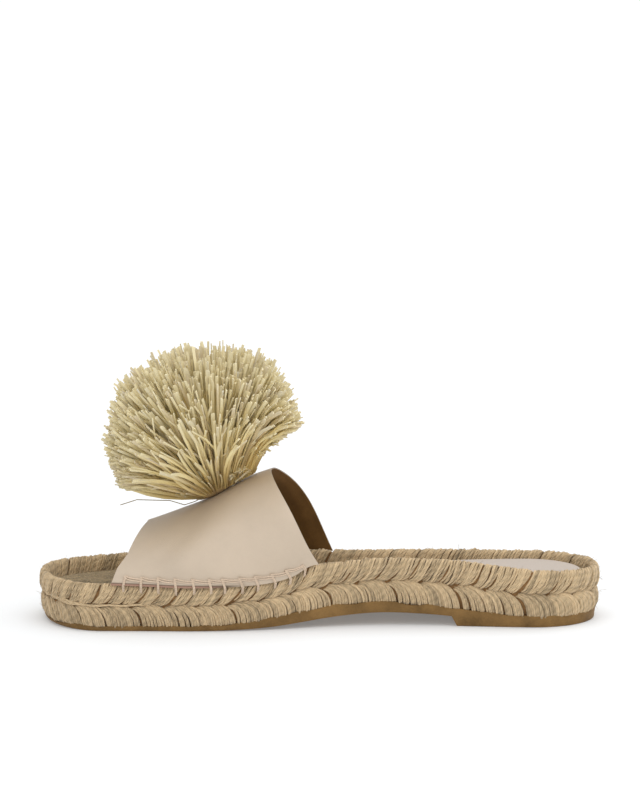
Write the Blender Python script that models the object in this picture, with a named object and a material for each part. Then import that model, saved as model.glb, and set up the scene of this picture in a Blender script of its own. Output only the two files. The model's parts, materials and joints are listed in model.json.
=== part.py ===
"""Espadrille mule slipper with a straw pompom, for the right foot, as separate solids.

Frame: +Z up, toe towards -X, inner (medial) side of the foot towards -Y, floor at Z = 0.
Sizes are in millimetres, and new_solid() scales them to Blender's metres.
Along is the distance from the toe tip, measured along the sole.
"""

import math
import random

import bmesh
import bpy
import numpy as np
from mathutils import Vector

MM = 0.001
GAP = 0.3

# Sole outline and heights
SOLE_LENGTH = 255.0
MEDIAL, LATERAL = -1, 1
TOE_ROUND = {MEDIAL: 33.5, LATERAL: 74.0}
HEEL_ROUND = 32.0
BRAID_HEIGHT = 19.7

# One row for each section of the last. Half widths are measured from the centre line. On each side, rim is the
# height of the braid's top edge, foot that of its lower edge, and under that of the rubber's underside. Bed is
# the height of the insole's top over the foot.
SOLE_COLUMNS = (
    "along",
    "centre",
    "medial",
    "lateral",
    "rim_medial",
    "rim_lateral",
    "foot_medial",
    "foot_lateral",
    "under_medial",
    "under_lateral",
    "bed",
)
SOLE_ROWS = (
    (0, -3.0, 45.5, 44.0, 22.6, 22.6, 2.9, 2.9, 0.8, 0.8, 12.6),
    (22, -1.8, 45.8, 45.2, 21.9, 21.9, 2.2, 2.2, 0.0, 0.0, 12.5),
    (50, -0.4, 46.4, 47.0, 21.9, 21.9, 2.2, 2.2, 0.0, 0.0, 12.5),
    (72, 0.0, 46.6, 48.2, 21.9, 21.9, 2.2, 2.2, 0.0, 0.0, 12.5),
    (90, 0.0, 45.2, 49.0, 22.8, 21.9, 3.1, 2.2, 0.3, 0.0, 12.5),
    (110, 0.0, 41.2, 48.3, 25.4, 22.0, 5.7, 2.3, 1.4, 0.1, 12.4),
    (121, 0.0, 38.1, 47.0, 28.6, 22.2, 7.6, 2.5, 2.7, 0.2, 12.3),
    (133, 0.0, 34.8, 45.2, 29.6, 22.5, 9.4, 2.8, 4.3, 0.4, 12.3),
    (155, 0.0, 30.8, 41.2, 31.3, 23.4, 10.7, 3.7, 6.0, 1.2, 12.6),
    (175, 0.0, 29.6, 37.2, 30.9, 24.5, 9.9, 4.8, 5.3, 2.4, 13.2),
    (192, 0.0, 30.4, 34.4, 30.2, 25.0, 7.5, 5.1, 4.0, 2.7, 14.5),
    (215, 0.0, 32.0, 32.6, 27.4, 25.1, 5.1, 4.9, 2.5, 2.4, 15.7),
    (255, 0.0, 32.5, 32.5, 24.9, 24.9, 4.7, 4.7, 2.3, 2.3, 15.7),
)

# Braided wall. Two rows of strands meet at a valley and lean apart like a herringbone.
STRANDS = 42
COLUMNS_PER_STRAND = 4
VALLEY_SHARE = 0.50
STRAND_LEAN = 0.55
# One row for each level of the wall: share of the height, inset from the outline, depth of the ribs
WALL_COLUMNS = ("share", "inset", "rib")
WALL_ROWS = (
    (0.00, 3.0, 0.6),
    (0.10, 1.5, 1.3),
    (0.26, 0.6, 2.0),
    (0.41, 0.8, 1.6),
    (0.50, 1.8, 0.3),
    (0.58, 0.8, 1.4),
    (0.72, 0.1, 1.9),
    (0.86, 0.8, 1.7),
    (0.96, 1.9, 0.9),
    (1.00, 3.2, 0.3),
)
RIM_INNER_EDGE = 4.9
WALL_THICKNESS = 5.8
RIM_EDGE_DROP = 0.8

# Footbed
INSOLE_THICKNESS = 2.4
INSOLE_EDGE = 0.5
SOCK_FRONT = 126.0
SOCK_THICKNESS = 1.0
SOCK_MARGIN = 2.6

# Rubber outsole with its heel
RUBBER_INSET = 2.7
RUBBER_CHAMFER = 1.0
HEEL_BREAST = 187.2
HEEL_BREAST_SLANT = 2.4

# Leather upper
UPPER_WALL = 1.8
UPPER_STEPS_ACROSS = 36
UPPER_STEPS_ALONG = 12
FRONT_EDGE = {MEDIAL: 36.5, LATERAL: 37.9}
FRONT_FLARE = 2.1
FRONT_EDGE_TOP = 50.0
COLLAR_EDGE = {MEDIAL: 128.3, LATERAL: 132.0}
COLLAR_EDGE_TOP = 105.5
COLLAR_BOW = 1.27
COLLAR_HOLLOW = 17.5
CORNER_LIFT = {MEDIAL: 3.5, LATERAL: 1.9}
CORNER_RUN = (0.87, 0.985)
UPPER_OVERLAP_FRONT = 0.6
UPPER_OVERLAP_COLLAR = 3.4
# One row for each section of the vamp: height of its crest and how far the crest lies off the centre
CREST_COLUMNS = ("along", "height", "offset")
CREST_ROWS = (
    (30, 36.6, 0.0),
    (50, 42.5, 0.0),
    (72, 51.1, -0.6),
    (94, 61.8, -1.4),
    (105.5, 66.8, -2.0),
    (120, 70.4, -2.0),
    (135, 72.8, -2.0),
)

# Straw pompom: locks of straw that fan out of one knot on the vamp
POMPOM_ALONG = 81.0
POMPOM_LEAN = math.radians(107.5)
POMPOM_RADIUS = 46.0
POMPOM_CENTRE = (-4.6, 0.6, 23.8)
POMPOM_FAN = math.radians(68.0)
POMPOM_CORE_SHARE = 0.56
POMPOM_DIRECTIONS = 400
POMPOM_TRIM = 0.07
LOCK_GAP = 0.7
KNOT_RADIUS = 9.0

# Finishes: colour (linear), roughness
FINISHES = {
    "jute": ((0.455, 0.34, 0.203), 0.9),
    "rubber": ((0.19, 0.11, 0.040), 0.6),
    "nude_leather": ((0.565, 0.46, 0.35), 0.45),
    "sock_leather": ((0.50, 0.43, 0.37), 0.6),
    "straw": ((0.65, 0.555, 0.285), 0.7),
}


def table_column(names, rows, name):
    """One named column of a table as an array."""
    return np.array([row[names.index(name)] for row in rows], float)


def smooth(names, rows, name, along):
    """Reads a column between its rows on a cubic with the slope of the rows next to each."""
    at = table_column(names, rows, "along")
    value = table_column(names, rows, name)
    slope = np.gradient(value, at)
    along = np.clip(along, at[0], at[-1])
    low = np.clip(np.searchsorted(at, along) - 1, 0, len(at) - 2)
    span = at[low + 1] - at[low]
    t = (along - at[low]) / span
    return (
        value[low] * (1 + 2 * t) * (1 - t) ** 2
        + slope[low] * span * t * (1 - t) ** 2
        + value[low + 1] * t * t * (3 - 2 * t)
        + slope[low + 1] * span * t * t * (t - 1)
    )


def sole(name, along):
    return smooth(SOLE_COLUMNS, SOLE_ROWS, name, along)


def by_side(name, along, side):
    """A sole column that has a medial and a lateral value."""
    ends = {"width": ("medial", "lateral")}.get(name, (name + "_medial", name + "_lateral"))
    return np.where(side < 0, sole(ends[0], along), sole(ends[1], along))


def half_width(along, side):
    """Half width of the outline: the section's width, rounded off as an ellipse at toe and heel."""
    toe_round = np.where(side < 0, TOE_ROUND[MEDIAL], TOE_ROUND[LATERAL])
    toe = 1 - np.clip(along / toe_round, 0, 1)
    heel = 1 - np.clip((SOLE_LENGTH - along) / HEEL_ROUND, 0, 1)
    return by_side("width", along, side) * np.sqrt((1 - toe**2) * (1 - heel**2))


def station_table(count=2000):
    """Along at even steps of the outline's mean arc length, from toe tip to heel."""
    along = SOLE_LENGTH * (1 - np.cos(np.linspace(0, math.pi, count))) / 2
    width = (half_width(along, MEDIAL) + half_width(along, LATERAL)) / 2
    arc = np.concatenate([[0], np.cumsum(np.hypot(np.diff(along), np.diff(width)))])
    return arc / arc[-1], along


STATION_SHARE, STATION_ALONG = station_table()
COLUMNS = STRANDS * COLUMNS_PER_STRAND
STATIONS = COLUMNS // 2
SLAB_STATIONS = np.arange(0, STATIONS + 1, 2)


def place(column):
    """Along and side at a column. Columns run from the toe down the medial side and back up the lateral."""
    column = np.mod(np.asarray(column, float), COLUMNS)
    side = np.where(column <= STATIONS, MEDIAL, LATERAL)
    share = np.where(column <= STATIONS, column, COLUMNS - column) / STATIONS
    return np.interp(share, STATION_SHARE, STATION_ALONG), side


def outline(column, inset=0.0):
    """X and Y of the outline at each column, moved inwards along its normal by the inset."""

    def point(at):
        along, side = place(at)
        return np.stack([along - SOLE_LENGTH / 2, sole("centre", along) + side * half_width(along, side)], -1)

    tangent = point(np.asarray(column) + 0.2) - point(np.asarray(column) - 0.2)
    tangent /= np.linalg.norm(tangent, axis=-1, keepdims=True)
    outward = np.stack([tangent[..., 1], -tangent[..., 0]], -1)
    return point(column) - outward * np.asarray(inset)[..., None]


def column_at(along):
    """Column on the medial side at a distance along the sole."""
    return float(np.interp(along, STATION_ALONG, STATION_SHARE)) * STATIONS


def loop_columns(stations):
    """Columns of a whole loop through the given stations, first down the medial side and then the lateral."""
    return np.concatenate([stations, COLUMNS - stations[-2:0:-1]])


def rim_height(column):
    along, side = place(column)
    return by_side("rim", along, side)


def foot_height(column):
    along, side = place(column)
    return by_side("foot", along, side)


def bed_height(column):
    """Height of the insole's top."""
    return foot_height(column) + sole("bed", place(column)[0])


def ease(value, low, high):
    """Smooth step from 0 at low to 1 at high."""
    t = np.clip((value - low) / (high - low), 0, 1)
    return t * t * (3 - 2 * t)


def level(column, inset, height):
    """Points of one level around the sole."""
    return np.column_stack([outline(column, np.broadcast_to(inset, np.shape(column))), height])


def finish(name):
    """A plain material of the named finish."""
    material = bpy.data.materials.get(name) or bpy.data.materials.new(name)
    colour, roughness = FINISHES[name]
    material.use_nodes = True
    shader = material.node_tree.nodes["Principled BSDF"]
    shader.inputs["Base Color"].default_value = (*colour, 1)
    shader.inputs["Roughness"].default_value = roughness
    shader.inputs["Metallic"].default_value = 0
    return material


def new_solid(name, mesh_edit, finish_name, parent):
    """Makes an object from a bmesh in millimetres, its faces turned outwards and its triangles flat."""
    bmesh.ops.recalc_face_normals(mesh_edit, faces=mesh_edit.faces)
    bmesh.ops.triangulate(mesh_edit, faces=mesh_edit.faces)
    bmesh.ops.scale(mesh_edit, vec=(MM, MM, MM), verts=mesh_edit.verts)
    mesh = bpy.data.meshes.new(name)
    mesh_edit.to_mesh(mesh)
    mesh_edit.free()
    mesh.shade_smooth()
    mesh.set_sharp_from_angle(angle=math.radians(40))
    mesh.materials.append(finish(finish_name))
    made = bpy.data.objects.new(name, mesh)
    bpy.context.scene.collection.objects.link(made)
    made.parent = parent
    return made


def add_points(mesh_edit, points):
    return [mesh_edit.verts.new(p) for p in points]


def bridge(mesh_edit, lower, upper, closed=True):
    """Quads between two rows of the same length."""
    last = len(lower) if closed else len(lower) - 1
    for i in range(last):
        j = (i + 1) % len(lower)
        mesh_edit.faces.new((lower[i], lower[j], upper[j], upper[i]))


def rungs(mesh_edit, loop):
    """Covers a loop around the sole with a face from side to side at each station."""
    count = len(loop)
    half = count // 2
    mesh_edit.faces.new((loop[0], loop[1], loop[count - 1]))
    for k in range(1, half - 1):
        mesh_edit.faces.new((loop[k], loop[k + 1], loop[count - k - 1], loop[count - k]))
    mesh_edit.faces.new((loop[half - 1], loop[half], loop[half + 1]))


def strand_bulge(phase):
    """Round back of a strand over its width, from 0 at its edges to 1 on its middle."""
    return np.sin(math.pi * np.mod(phase, 1.0)) ** 0.6


def braid_level(share, inset, rib):
    """One level of the braided wall. Columns slip along the sole with their distance from the valley."""
    column = np.arange(COLUMNS)
    pitch = 2 * np.hypot(SOLE_LENGTH, SOLE_LENGTH / 5) / COLUMNS
    slip = STRAND_LEAN * abs(share - VALLEY_SHARE) * BRAID_HEIGHT / pitch
    strands_across = COLUMNS_PER_STRAND if share < VALLEY_SHARE else COLUMNS_PER_STRAND / 2
    depth = rib * (1 - strand_bulge(column / strands_across))
    foot = foot_height(column + slip)
    height = foot + share * (rim_height(column + slip) - foot)
    return level(column + slip, inset + depth, height)


def make_braided_sole(parent):
    """Tray of braided jute: herringbone wall, raised rim and a flat floor for the insole."""
    column = np.arange(COLUMNS)
    rim, foot = rim_height(column), foot_height(column)
    floor = bed_height(column) - INSOLE_THICKNESS - GAP
    rows = [level(column, WALL_ROWS[0][1] + RUBBER_CHAMFER, foot)]
    rows += [braid_level(*row) for row in WALL_ROWS]
    rows.append(level(column, RIM_INNER_EDGE, rim))
    rows.append(level(column, WALL_THICKNESS, rim - RIM_EDGE_DROP))
    rows.append(level(column, WALL_THICKNESS, floor))
    return make_slab("jute_braid_sole", "jute", rows, parent)


def make_slab(name, finish_name, rows, parent):
    """Solid between levels around the sole, covered below the first and above the last."""
    mesh_edit = bmesh.new()
    loops = [add_points(mesh_edit, row) for row in rows]
    for lower, upper in zip(loops, loops[1:]):
        bridge(mesh_edit, lower, upper)
    rungs(mesh_edit, loops[0])
    rungs(mesh_edit, loops[-1])
    return new_solid(name, mesh_edit, finish_name, parent)


def make_outsole(parent):
    """Rubber sheet under the braid, with the heel as a step in its underside."""
    breast = np.array([column_at(HEEL_BREAST), column_at(HEEL_BREAST + HEEL_BREAST_SLANT)])
    clear = SLAB_STATIONS[(SLAB_STATIONS < breast[0] - 1) | (SLAB_STATIONS > breast[1] + 1)]
    column = loop_columns(np.sort(np.concatenate([clear, breast])))
    along, side = place(column)
    sheet = np.maximum(by_side("under", along, side), 0.0)
    under = np.where(along < HEEL_BREAST + HEEL_BREAST_SLANT / 2, sheet, 0.0)
    top = foot_height(column) - GAP
    rows = [
        level(column, RUBBER_INSET + RUBBER_CHAMFER, under),
        level(column, RUBBER_INSET, under + np.minimum(RUBBER_CHAMFER, (top - under) / 2)),
        level(column, RUBBER_INSET, top),
    ]
    return make_slab("rubber_outsole", "rubber", rows, parent)


def make_insole(parent):
    """Jute board that lies in the tray."""
    column = loop_columns(SLAB_STATIONS)
    top = bed_height(column)
    edge = WALL_THICKNESS + GAP
    rows = [
        level(column, edge, top - INSOLE_THICKNESS),
        level(column, edge, top - INSOLE_EDGE),
        level(column, edge + INSOLE_EDGE, top),
    ]
    return make_slab("jute_insole", "jute", rows, parent)


def make_heel_sock(parent):
    """Thin leather sock on the rear of the insole, cut straight across at its front."""
    mesh_edit = bmesh.new()
    front = column_at(SOCK_FRONT)
    stations = np.concatenate([[front], SLAB_STATIONS[SLAB_STATIONS > front + 1]])
    column = np.concatenate([stations, COLUMNS - stations[-2::-1]])
    bottom = bed_height(column) + GAP
    inset = WALL_THICKNESS + GAP + INSOLE_EDGE + SOCK_MARGIN
    low = add_points(mesh_edit, level(column, inset, bottom))
    high = add_points(mesh_edit, level(column, inset, bottom + SOCK_THICKNESS))
    bridge(mesh_edit, low, high)
    for loop in (low, high):
        count = len(loop)
        for k in range(count // 2 - 1):
            mesh_edit.faces.new((loop[k], loop[k + 1], loop[count - k - 2], loop[count - k - 1]))
        mesh_edit.faces.new(loop[count // 2 - 1 : count // 2 + 2])
    return new_solid("heel_sock", mesh_edit, "sock_leather", parent)


def wall_inset(share):
    """Inset of the strands' backs at a share of the braid's height."""
    shares = table_column(WALL_COLUMNS, WALL_ROWS, "share")
    return np.interp(share, shares, table_column(WALL_COLUMNS, WALL_ROWS, "inset"))


def crest(name, along):
    return smooth(CREST_COLUMNS, CREST_ROWS, name, along)


def upper_outside(turn, share):
    """Outer face of the vamp. Turn goes from 0 at the medial sole edge to pi at the lateral one, and share from
    the front edge to the collar. Each section is a half ellipse that stands upright on the sole's edge."""
    side = np.where(turn <= math.pi / 2, MEDIAL, LATERAL)
    climb = np.sin(turn)
    rise = np.clip(np.abs(climb), 0, 1)
    lean = 1 - np.abs(turn / (math.pi / 2) - 1)
    front_foot = np.where(side < 0, FRONT_EDGE[MEDIAL], FRONT_EDGE[LATERAL])
    collar_foot = np.where(side < 0, COLLAR_EDGE[MEDIAL], COLLAR_EDGE[LATERAL])
    front = front_foot + FRONT_FLARE * ease(rise, 0.36, 0.68)
    front = front + (FRONT_EDGE_TOP - front_foot - FRONT_FLARE) * lean
    collar = collar_foot + (COLLAR_EDGE_TOP - collar_foot) * rise**COLLAR_BOW
    collar = collar - COLLAR_HOLLOW * rise * (1 - rise) ** 3
    along = front + (collar - front) * share
    slope = (half_width(along + 0.5, side) - half_width(along - 0.5, side)) / 1.0
    overlap = UPPER_OVERLAP_FRONT + (UPPER_OVERLAP_COLLAR - UPPER_OVERLAP_FRONT) * share
    outset = UPPER_WALL + GAP - wall_inset(1 - overlap / BRAID_HEIGHT)
    foot_y = sole("centre", along) + side * (half_width(along, side) + outset * np.sqrt(1 + slope**2))
    lift = np.where(side < 0, CORNER_LIFT[MEDIAL], CORNER_LIFT[LATERAL]) * ease(share, *CORNER_RUN)
    foot_z = by_side("rim", along, side) - overlap + lift
    top_y = crest("offset", along)
    y = top_y + (foot_y - top_y) * np.abs(np.cos(turn))
    z = foot_z + (crest("height", along) - foot_z) * climb
    return np.stack([along - SOLE_LENGTH / 2, y, z], -1)


def upper_normal(turn, share, step=0.004):
    """Outward normal of the vamp, from the slopes of its outer face."""
    across = upper_outside(turn + step, share) - upper_outside(turn - step, share)
    down = upper_outside(turn, share + step) - upper_outside(turn, share - step)
    normal = np.cross(across, down)
    normal /= np.linalg.norm(normal, axis=-1, keepdims=True)
    return normal * np.sign(normal[..., 2:] * np.sin(turn)[..., None] + normal[..., 1:2] * -np.cos(turn)[..., None])


def make_upper(parent):
    """Leather vamp: one hollow band, open at the toe, at the collar and underneath."""
    mesh_edit = bmesh.new()
    turn, share = np.meshgrid(
        np.linspace(0, math.pi, UPPER_STEPS_ACROSS + 1), np.linspace(0, 1, UPPER_STEPS_ALONG + 1)
    )
    outside = upper_outside(turn, share)
    inside = outside - upper_normal(turn, share) * UPPER_WALL
    outer = [add_points(mesh_edit, row) for row in outside]
    inner = [add_points(mesh_edit, row) for row in inside]
    for sheet in (outer, inner):
        for front, back in zip(sheet, sheet[1:]):
            bridge(mesh_edit, front, back, closed=False)
    bridge(mesh_edit, outer[0], inner[0], closed=False)
    bridge(mesh_edit, outer[-1], inner[-1], closed=False)
    for end in (0, -1):
        bridge(mesh_edit, [row[end] for row in outer], [row[end] for row in inner], closed=False)
    return new_solid("leather_upper", mesh_edit, "nude_leather", parent)


def pompom_reach(direction):
    """Distance from the knot to the trimmed ball of straw, in a direction."""
    towards = direction.dot(Vector(POMPOM_CENTRE))
    return towards + math.sqrt(POMPOM_RADIUS**2 - Vector(POMPOM_CENTRE).length_squared + towards**2)


def pompom_seat():
    """Knot's place on the vamp, just clear of the leather, and the vamp's outward normal there."""
    share = (POMPOM_ALONG - FRONT_EDGE_TOP) / (COLLAR_EDGE_TOP - FRONT_EDGE_TOP)
    top = np.array(math.pi / 2)
    normal = Vector(upper_normal(top, np.array(share)))
    return Vector(upper_outside(top, np.array(share))) + normal * GAP, normal


def spread_directions(count):
    """Unit vectors spread evenly over a ball, along a spiral that turns by the golden angle."""
    golden = math.pi * (3 - math.sqrt(5))
    for i in range(count):
        height = 1 - 2 * (i + 0.5) / count
        ring = math.sqrt(1 - height * height)
        yield Vector((ring * math.cos(golden * i), ring * math.sin(golden * i), height))


def make_pompom(parent):
    """Ball of straw: a core fanned out of the knot, with a lock of straw raised on each of its faces."""
    rng = random.Random(7)
    seat, normal = pompom_seat()
    axis = Vector((math.cos(POMPOM_LEAN), 0, math.sin(POMPOM_LEAN)))
    turn = Vector((0, 0, 1)).rotation_difference(axis)
    mesh_edit = bmesh.new()
    for direction in spread_directions(POMPOM_DIRECTIONS):
        mesh_edit.verts.new(direction)
    bmesh.ops.convex_hull(mesh_edit, input=mesh_edit.verts)
    below = [f for f in mesh_edit.faces if f.calc_center_median().angle(Vector((0, 0, 1))) > POMPOM_FAN]
    bmesh.ops.delete(mesh_edit, geom=below, context="FACES")
    dome = list(mesh_edit.faces)
    for v in mesh_edit.verts:
        v.co *= POMPOM_CORE_SHARE * pompom_reach(turn @ v.co.normalized())

    hem = bmesh.ops.extrude_edge_only(mesh_edit, edges=[e for e in mesh_edit.edges if e.is_boundary])
    hem_verts = [g for g in hem["geom"] if isinstance(g, bmesh.types.BMVert)]
    for v in hem_verts:
        round_axis = math.atan2(v.co.y, v.co.x)
        v.co = Vector((math.cos(round_axis), math.sin(round_axis), 0)) * KNOT_RADIUS
    bmesh.ops.contextual_create(mesh_edit, geom=[e for e in mesh_edit.edges if e.is_boundary])

    bmesh.ops.inset_individual(mesh_edit, faces=dome, thickness=LOCK_GAP, use_even_offset=True)
    locks = bmesh.ops.extrude_discrete_faces(mesh_edit, faces=dome)["faces"]
    for lock in locks:
        grow = (1 - POMPOM_TRIM * rng.random()) / POMPOM_CORE_SHARE
        for v in lock.verts:
            v.co *= grow

    across = normal.cross(Vector((0, 1, 0))).normalized()
    knot = {v for v in hem_verts}
    for v in mesh_edit.verts:
        if v in knot:
            v.co = seat + across * -v.co.x + normal.cross(across) * v.co.y
        else:
            v.co = seat + turn @ v.co
    return new_solid("raffia_pompom", mesh_edit, "straw", parent)


def stand_on_origin(root, solids):
    """Moves the slipper so that the middle of its box stands over the origin."""
    bpy.context.view_layer.update()
    corners = np.array([[*(made.matrix_world @ v.co)] for made in solids for v in made.data.vertices])
    low, high = corners.min(0), corners.max(0)
    root.location = (-(low[0] + high[0]) / 2, -(low[1] + high[1]) / 2, -low[2])


def main():
    for old in list(bpy.data.objects):
        bpy.data.objects.remove(old)
    root = bpy.data.objects.new("slipper", None)
    bpy.context.scene.collection.objects.link(root)
    makers = (make_outsole, make_braided_sole, make_insole, make_heel_sock, make_upper, make_pompom)
    stand_on_origin(root, [make(root) for make in makers])


main()
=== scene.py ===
"""Espadrille mule slipper with a straw pompom: the looks of its solids, laid out as a Blender add-on.

Shapes are worked out in millimetres in the sole's own frame, and new_piece() puts them in the slipper's
frame: +Z up, toe towards -X, inner (medial) side of the foot towards -Y, floor at Z = 0.
Along is the distance from the toe tip. A column is a place round the sole's outline: columns run from the
toe tip down the medial side to the heel and back up the lateral side, a few to each strand of the braid.
"""

import json
import math

import bmesh
import bpy
import numpy as np
from bpy.props import FloatProperty, FloatVectorProperty, IntProperty, PointerProperty
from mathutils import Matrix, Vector


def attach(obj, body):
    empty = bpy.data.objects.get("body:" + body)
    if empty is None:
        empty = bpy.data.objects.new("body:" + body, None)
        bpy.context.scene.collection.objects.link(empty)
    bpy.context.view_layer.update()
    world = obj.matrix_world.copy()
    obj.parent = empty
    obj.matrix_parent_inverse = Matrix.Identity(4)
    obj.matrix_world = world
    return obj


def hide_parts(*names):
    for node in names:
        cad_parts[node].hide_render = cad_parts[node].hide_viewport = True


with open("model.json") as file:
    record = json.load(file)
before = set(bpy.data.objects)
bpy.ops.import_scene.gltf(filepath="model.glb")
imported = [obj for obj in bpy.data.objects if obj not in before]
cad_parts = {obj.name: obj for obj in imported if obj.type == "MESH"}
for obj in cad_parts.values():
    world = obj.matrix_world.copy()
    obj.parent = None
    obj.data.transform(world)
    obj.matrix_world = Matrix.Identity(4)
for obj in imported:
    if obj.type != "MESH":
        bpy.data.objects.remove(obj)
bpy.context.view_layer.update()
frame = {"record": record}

bl_info = {
    "name": "Espadrille Mule Slipper",
    "version": (1, 0, 0),
    "blender": (4, 5, 0),
    "location": "3D View > Sidebar > Slipper",
    "description": "Dresses the solids of a mule slipper with jute yarn, leather, stitches and straw",
    "category": "Object",
}

MM = 0.001
FINISH = {row["slot"]: tuple(row["base_color"]) for row in frame["record"]["materials"]}
BRAID_SEED, RUBBER_SEED, STRAW_SEED = 11, 5, 23
# The sole's own frame has its middle this far from the middle of the slipper's box, in millimetres
SLIPPER_SHIFT = np.array([0.0011, -1.3242, 0.0])

# Sole outline and heights
SOLE_LENGTH = 255.0
MEDIAL, LATERAL = -1, 1
TOE_ROUND = {MEDIAL: 33.5, LATERAL: 74.0}
HEEL_ROUND = 32.0
BRAID_HEIGHT = 19.7
# One row for each section of the last. Half widths are measured from the centre line. On each side, rim is
# the height of the braid's top edge, foot that of its lower edge, and under that of the rubber's underside.
# Bed is the height of the insole's top over the foot.
SOLE_COLUMNS = (
    "along", "centre", "width_medial", "width_lateral", "rim_medial", "rim_lateral",
    "foot_medial", "foot_lateral", "under_medial", "under_lateral", "bed",
)
SOLE_ROWS = (
    (0, -3.0, 45.5, 44.0, 22.6, 22.6, 2.9, 2.9, 0.8, 0.8, 12.6),
    (22, -1.8, 45.8, 45.2, 21.9, 21.9, 2.2, 2.2, 0.0, 0.0, 12.5),
    (50, -0.4, 46.4, 47.0, 21.9, 21.9, 2.2, 2.2, 0.0, 0.0, 12.5),
    (72, 0.0, 46.6, 48.2, 21.9, 21.9, 2.2, 2.2, 0.0, 0.0, 12.5),
    (90, 0.0, 45.2, 49.0, 22.8, 21.9, 3.1, 2.2, 0.3, 0.0, 12.5),
    (110, 0.0, 41.2, 48.3, 25.4, 22.0, 5.7, 2.3, 1.4, 0.1, 12.4),
    (121, 0.0, 38.1, 47.0, 28.6, 22.2, 7.6, 2.5, 2.7, 0.2, 12.3),
    (133, 0.0, 34.8, 45.2, 29.6, 22.5, 9.4, 2.8, 4.3, 0.4, 12.3),
    (155, 0.0, 30.8, 41.2, 31.3, 23.4, 10.7, 3.7, 6.0, 1.2, 12.6),
    (175, 0.0, 29.6, 37.2, 30.9, 24.5, 9.9, 4.8, 5.3, 2.4, 13.2),
    (192, 0.0, 30.4, 34.4, 30.2, 25.0, 7.5, 5.1, 4.0, 2.7, 14.5),
    (215, 0.0, 32.0, 32.6, 27.4, 25.1, 5.1, 4.9, 2.5, 2.4, 15.7),
    (255, 0.0, 32.5, 32.5, 24.9, 24.9, 4.7, 4.7, 2.3, 2.3, 15.7),
)
SOLE = dict(zip(SOLE_COLUMNS, np.array(SOLE_ROWS, float).T))

# Braided wall: a lower and an upper row of strands that meet at a valley
STRANDS = 42
COLUMNS_PER_STRAND = 4
COLUMNS = STRANDS * COLUMNS_PER_STRAND
STATIONS = COLUMNS // 2
COLUMN_LENGTH = 3.5
VALLEY = 9.85
# How far yarns run on along the wall, from the valley down and from the valley up to the rim
LOWER_SLIP = 3.6
UPPER_LEAN = 6.6
# Points along a yarn of each row, and sides of its tube
LOWER_STEPS, UPPER_STEPS, YARN_SIDES = 15, 21, 6
# Backs of the lower strands, and of the upper ones over the rim and down into the footbed, as insets from
# the outline and heights over the foot
LOWER_PROFILE = ((2.8, -0.6), (2.2, 0.3), (1.2, 2.0), (0.7, 4.8), (0.75, 7.6), (1.5, VALLEY))
UPPER_PROFILE = (
    (2.8, 8.7), (1.2, 10.0), (0.4, 11.9), (0.15, 14.4), (0.35, 16.6), (0.9, 18.5),
    (2.2, 19.7), (3.5, 19.3), (4.5, 17.9), (5.2, 15.2), (5.7, 10.6),
)
# Place of the rim in the upper profile
RIM_STEP = 6
# Yarns that lie level in the valley near the toe, on the medial side: along at both ends, rise over the
# valley at both ends, and tint
LEVEL_ROWS = ((1.5, 23.0, 1.5, 0.4, 0.75), (4.0, 36.0, 0.6, -0.3, 0.6), (9.0, 55.0, -0.4, 0.1, 0.8))
# Jute under the yarns, from the foot of the wall over the rim to the tray's floor
CORE_PROFILE = (
    (4.8, 0.0), (3.4, 0.6), (2.3, 3.0), (1.9, 6.2), (2.2, 8.5), (2.9, VALLEY), (2.2, 11.0), (1.4, 13.2),
    (1.5, 16.0), (1.9, 17.6), (2.4, 18.3), (2.9, 18.2), (3.5, 16.9), (4.0, 15.2), (4.5, 9.6),
)

# Footbed
INSOLE_THICKNESS, INSOLE_INSET, INSOLE_EDGE = 2.4, 6.1, 0.5
SOCK_FRONT = 126.0
SOCK_THICKNESS, SOCK_INSET, SOCK_EDGE = 1.0, 9.2, 0.4
SOCK_GAP = 0.3

# Rubber outsole with its heel
RUBBER_INSET = 2.7
HEEL_BREAST = 187.2
HEEL_BREAST_SLANT = 2.4
# Ribs of the underside: their pitch, their bend for a whole width off the middle, the plain border inside
# the edge, and the stretches along the sole in which they begin, stop under the arch, go on and end
RIB_PITCH, RIB_BEND = 4.2, 6
RIB_BORDER = (3.0, 5.0)
RIBS_BEGIN, ARCH_BEGIN, ARCH_END, RIBS_END = (14, 18), (118, 124), (196, 200), (240, 244)

# Leather vamp
VAMP_WALL = 1.8
# The leather is turned in at the front, and the lining begins at this share of the vamp
LINING_FRONT = 0.07
LINING_GAP = 0.08
SEAT_GAP = 0.3
FRONT_EDGE = {MEDIAL: 36.5, LATERAL: 37.9}
FRONT_FLARE = 2.1
FRONT_FLARE_CLIMB = (0.36, 0.68)
FRONT_EDGE_TOP = 48.7
FAR_FRONT_BOW = 1.7
COLLAR_EDGE = {MEDIAL: 128.3, LATERAL: 132.0}
COLLAR_EDGE_TOP = 105.5
FAR_COLLAR_BOW = 1.4
COLLAR_BOW = 1.27
COLLAR_HOLLOW = 17.5
CORNER_LIFT = {MEDIAL: 3.5, LATERAL: 1.9}
CORNER_RUN = (0.87, 0.985)
OVERLAP_FRONT, OVERLAP_COLLAR = 0.6, 3.4
# Inset of the wall's strands where the vamp's margin lies on them, against the height over the braid's foot
MARGIN_HEIGHT = (14.2, 16.9, 18.9, 19.7)
MARGIN_INSET = (0.1, 0.8, 1.9, 3.2)
# Top line of the vamp: its height, and its offset from the centre line
CREST_COLUMNS = ("along", "height", "offset")
CREST_ROWS = (
    (30, 36.6, 0.0),
    (50, 42.5, 0.0),
    (72, 51.1, -0.6),
    (94, 61.8, -1.4),
    (105.5, 66.8, -2.0),
    (120, 70.4, -2.0),
    (135, 72.8, -2.0),
)
CREST = dict(zip(CREST_COLUMNS, np.array(CREST_ROWS, float).T))
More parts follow.
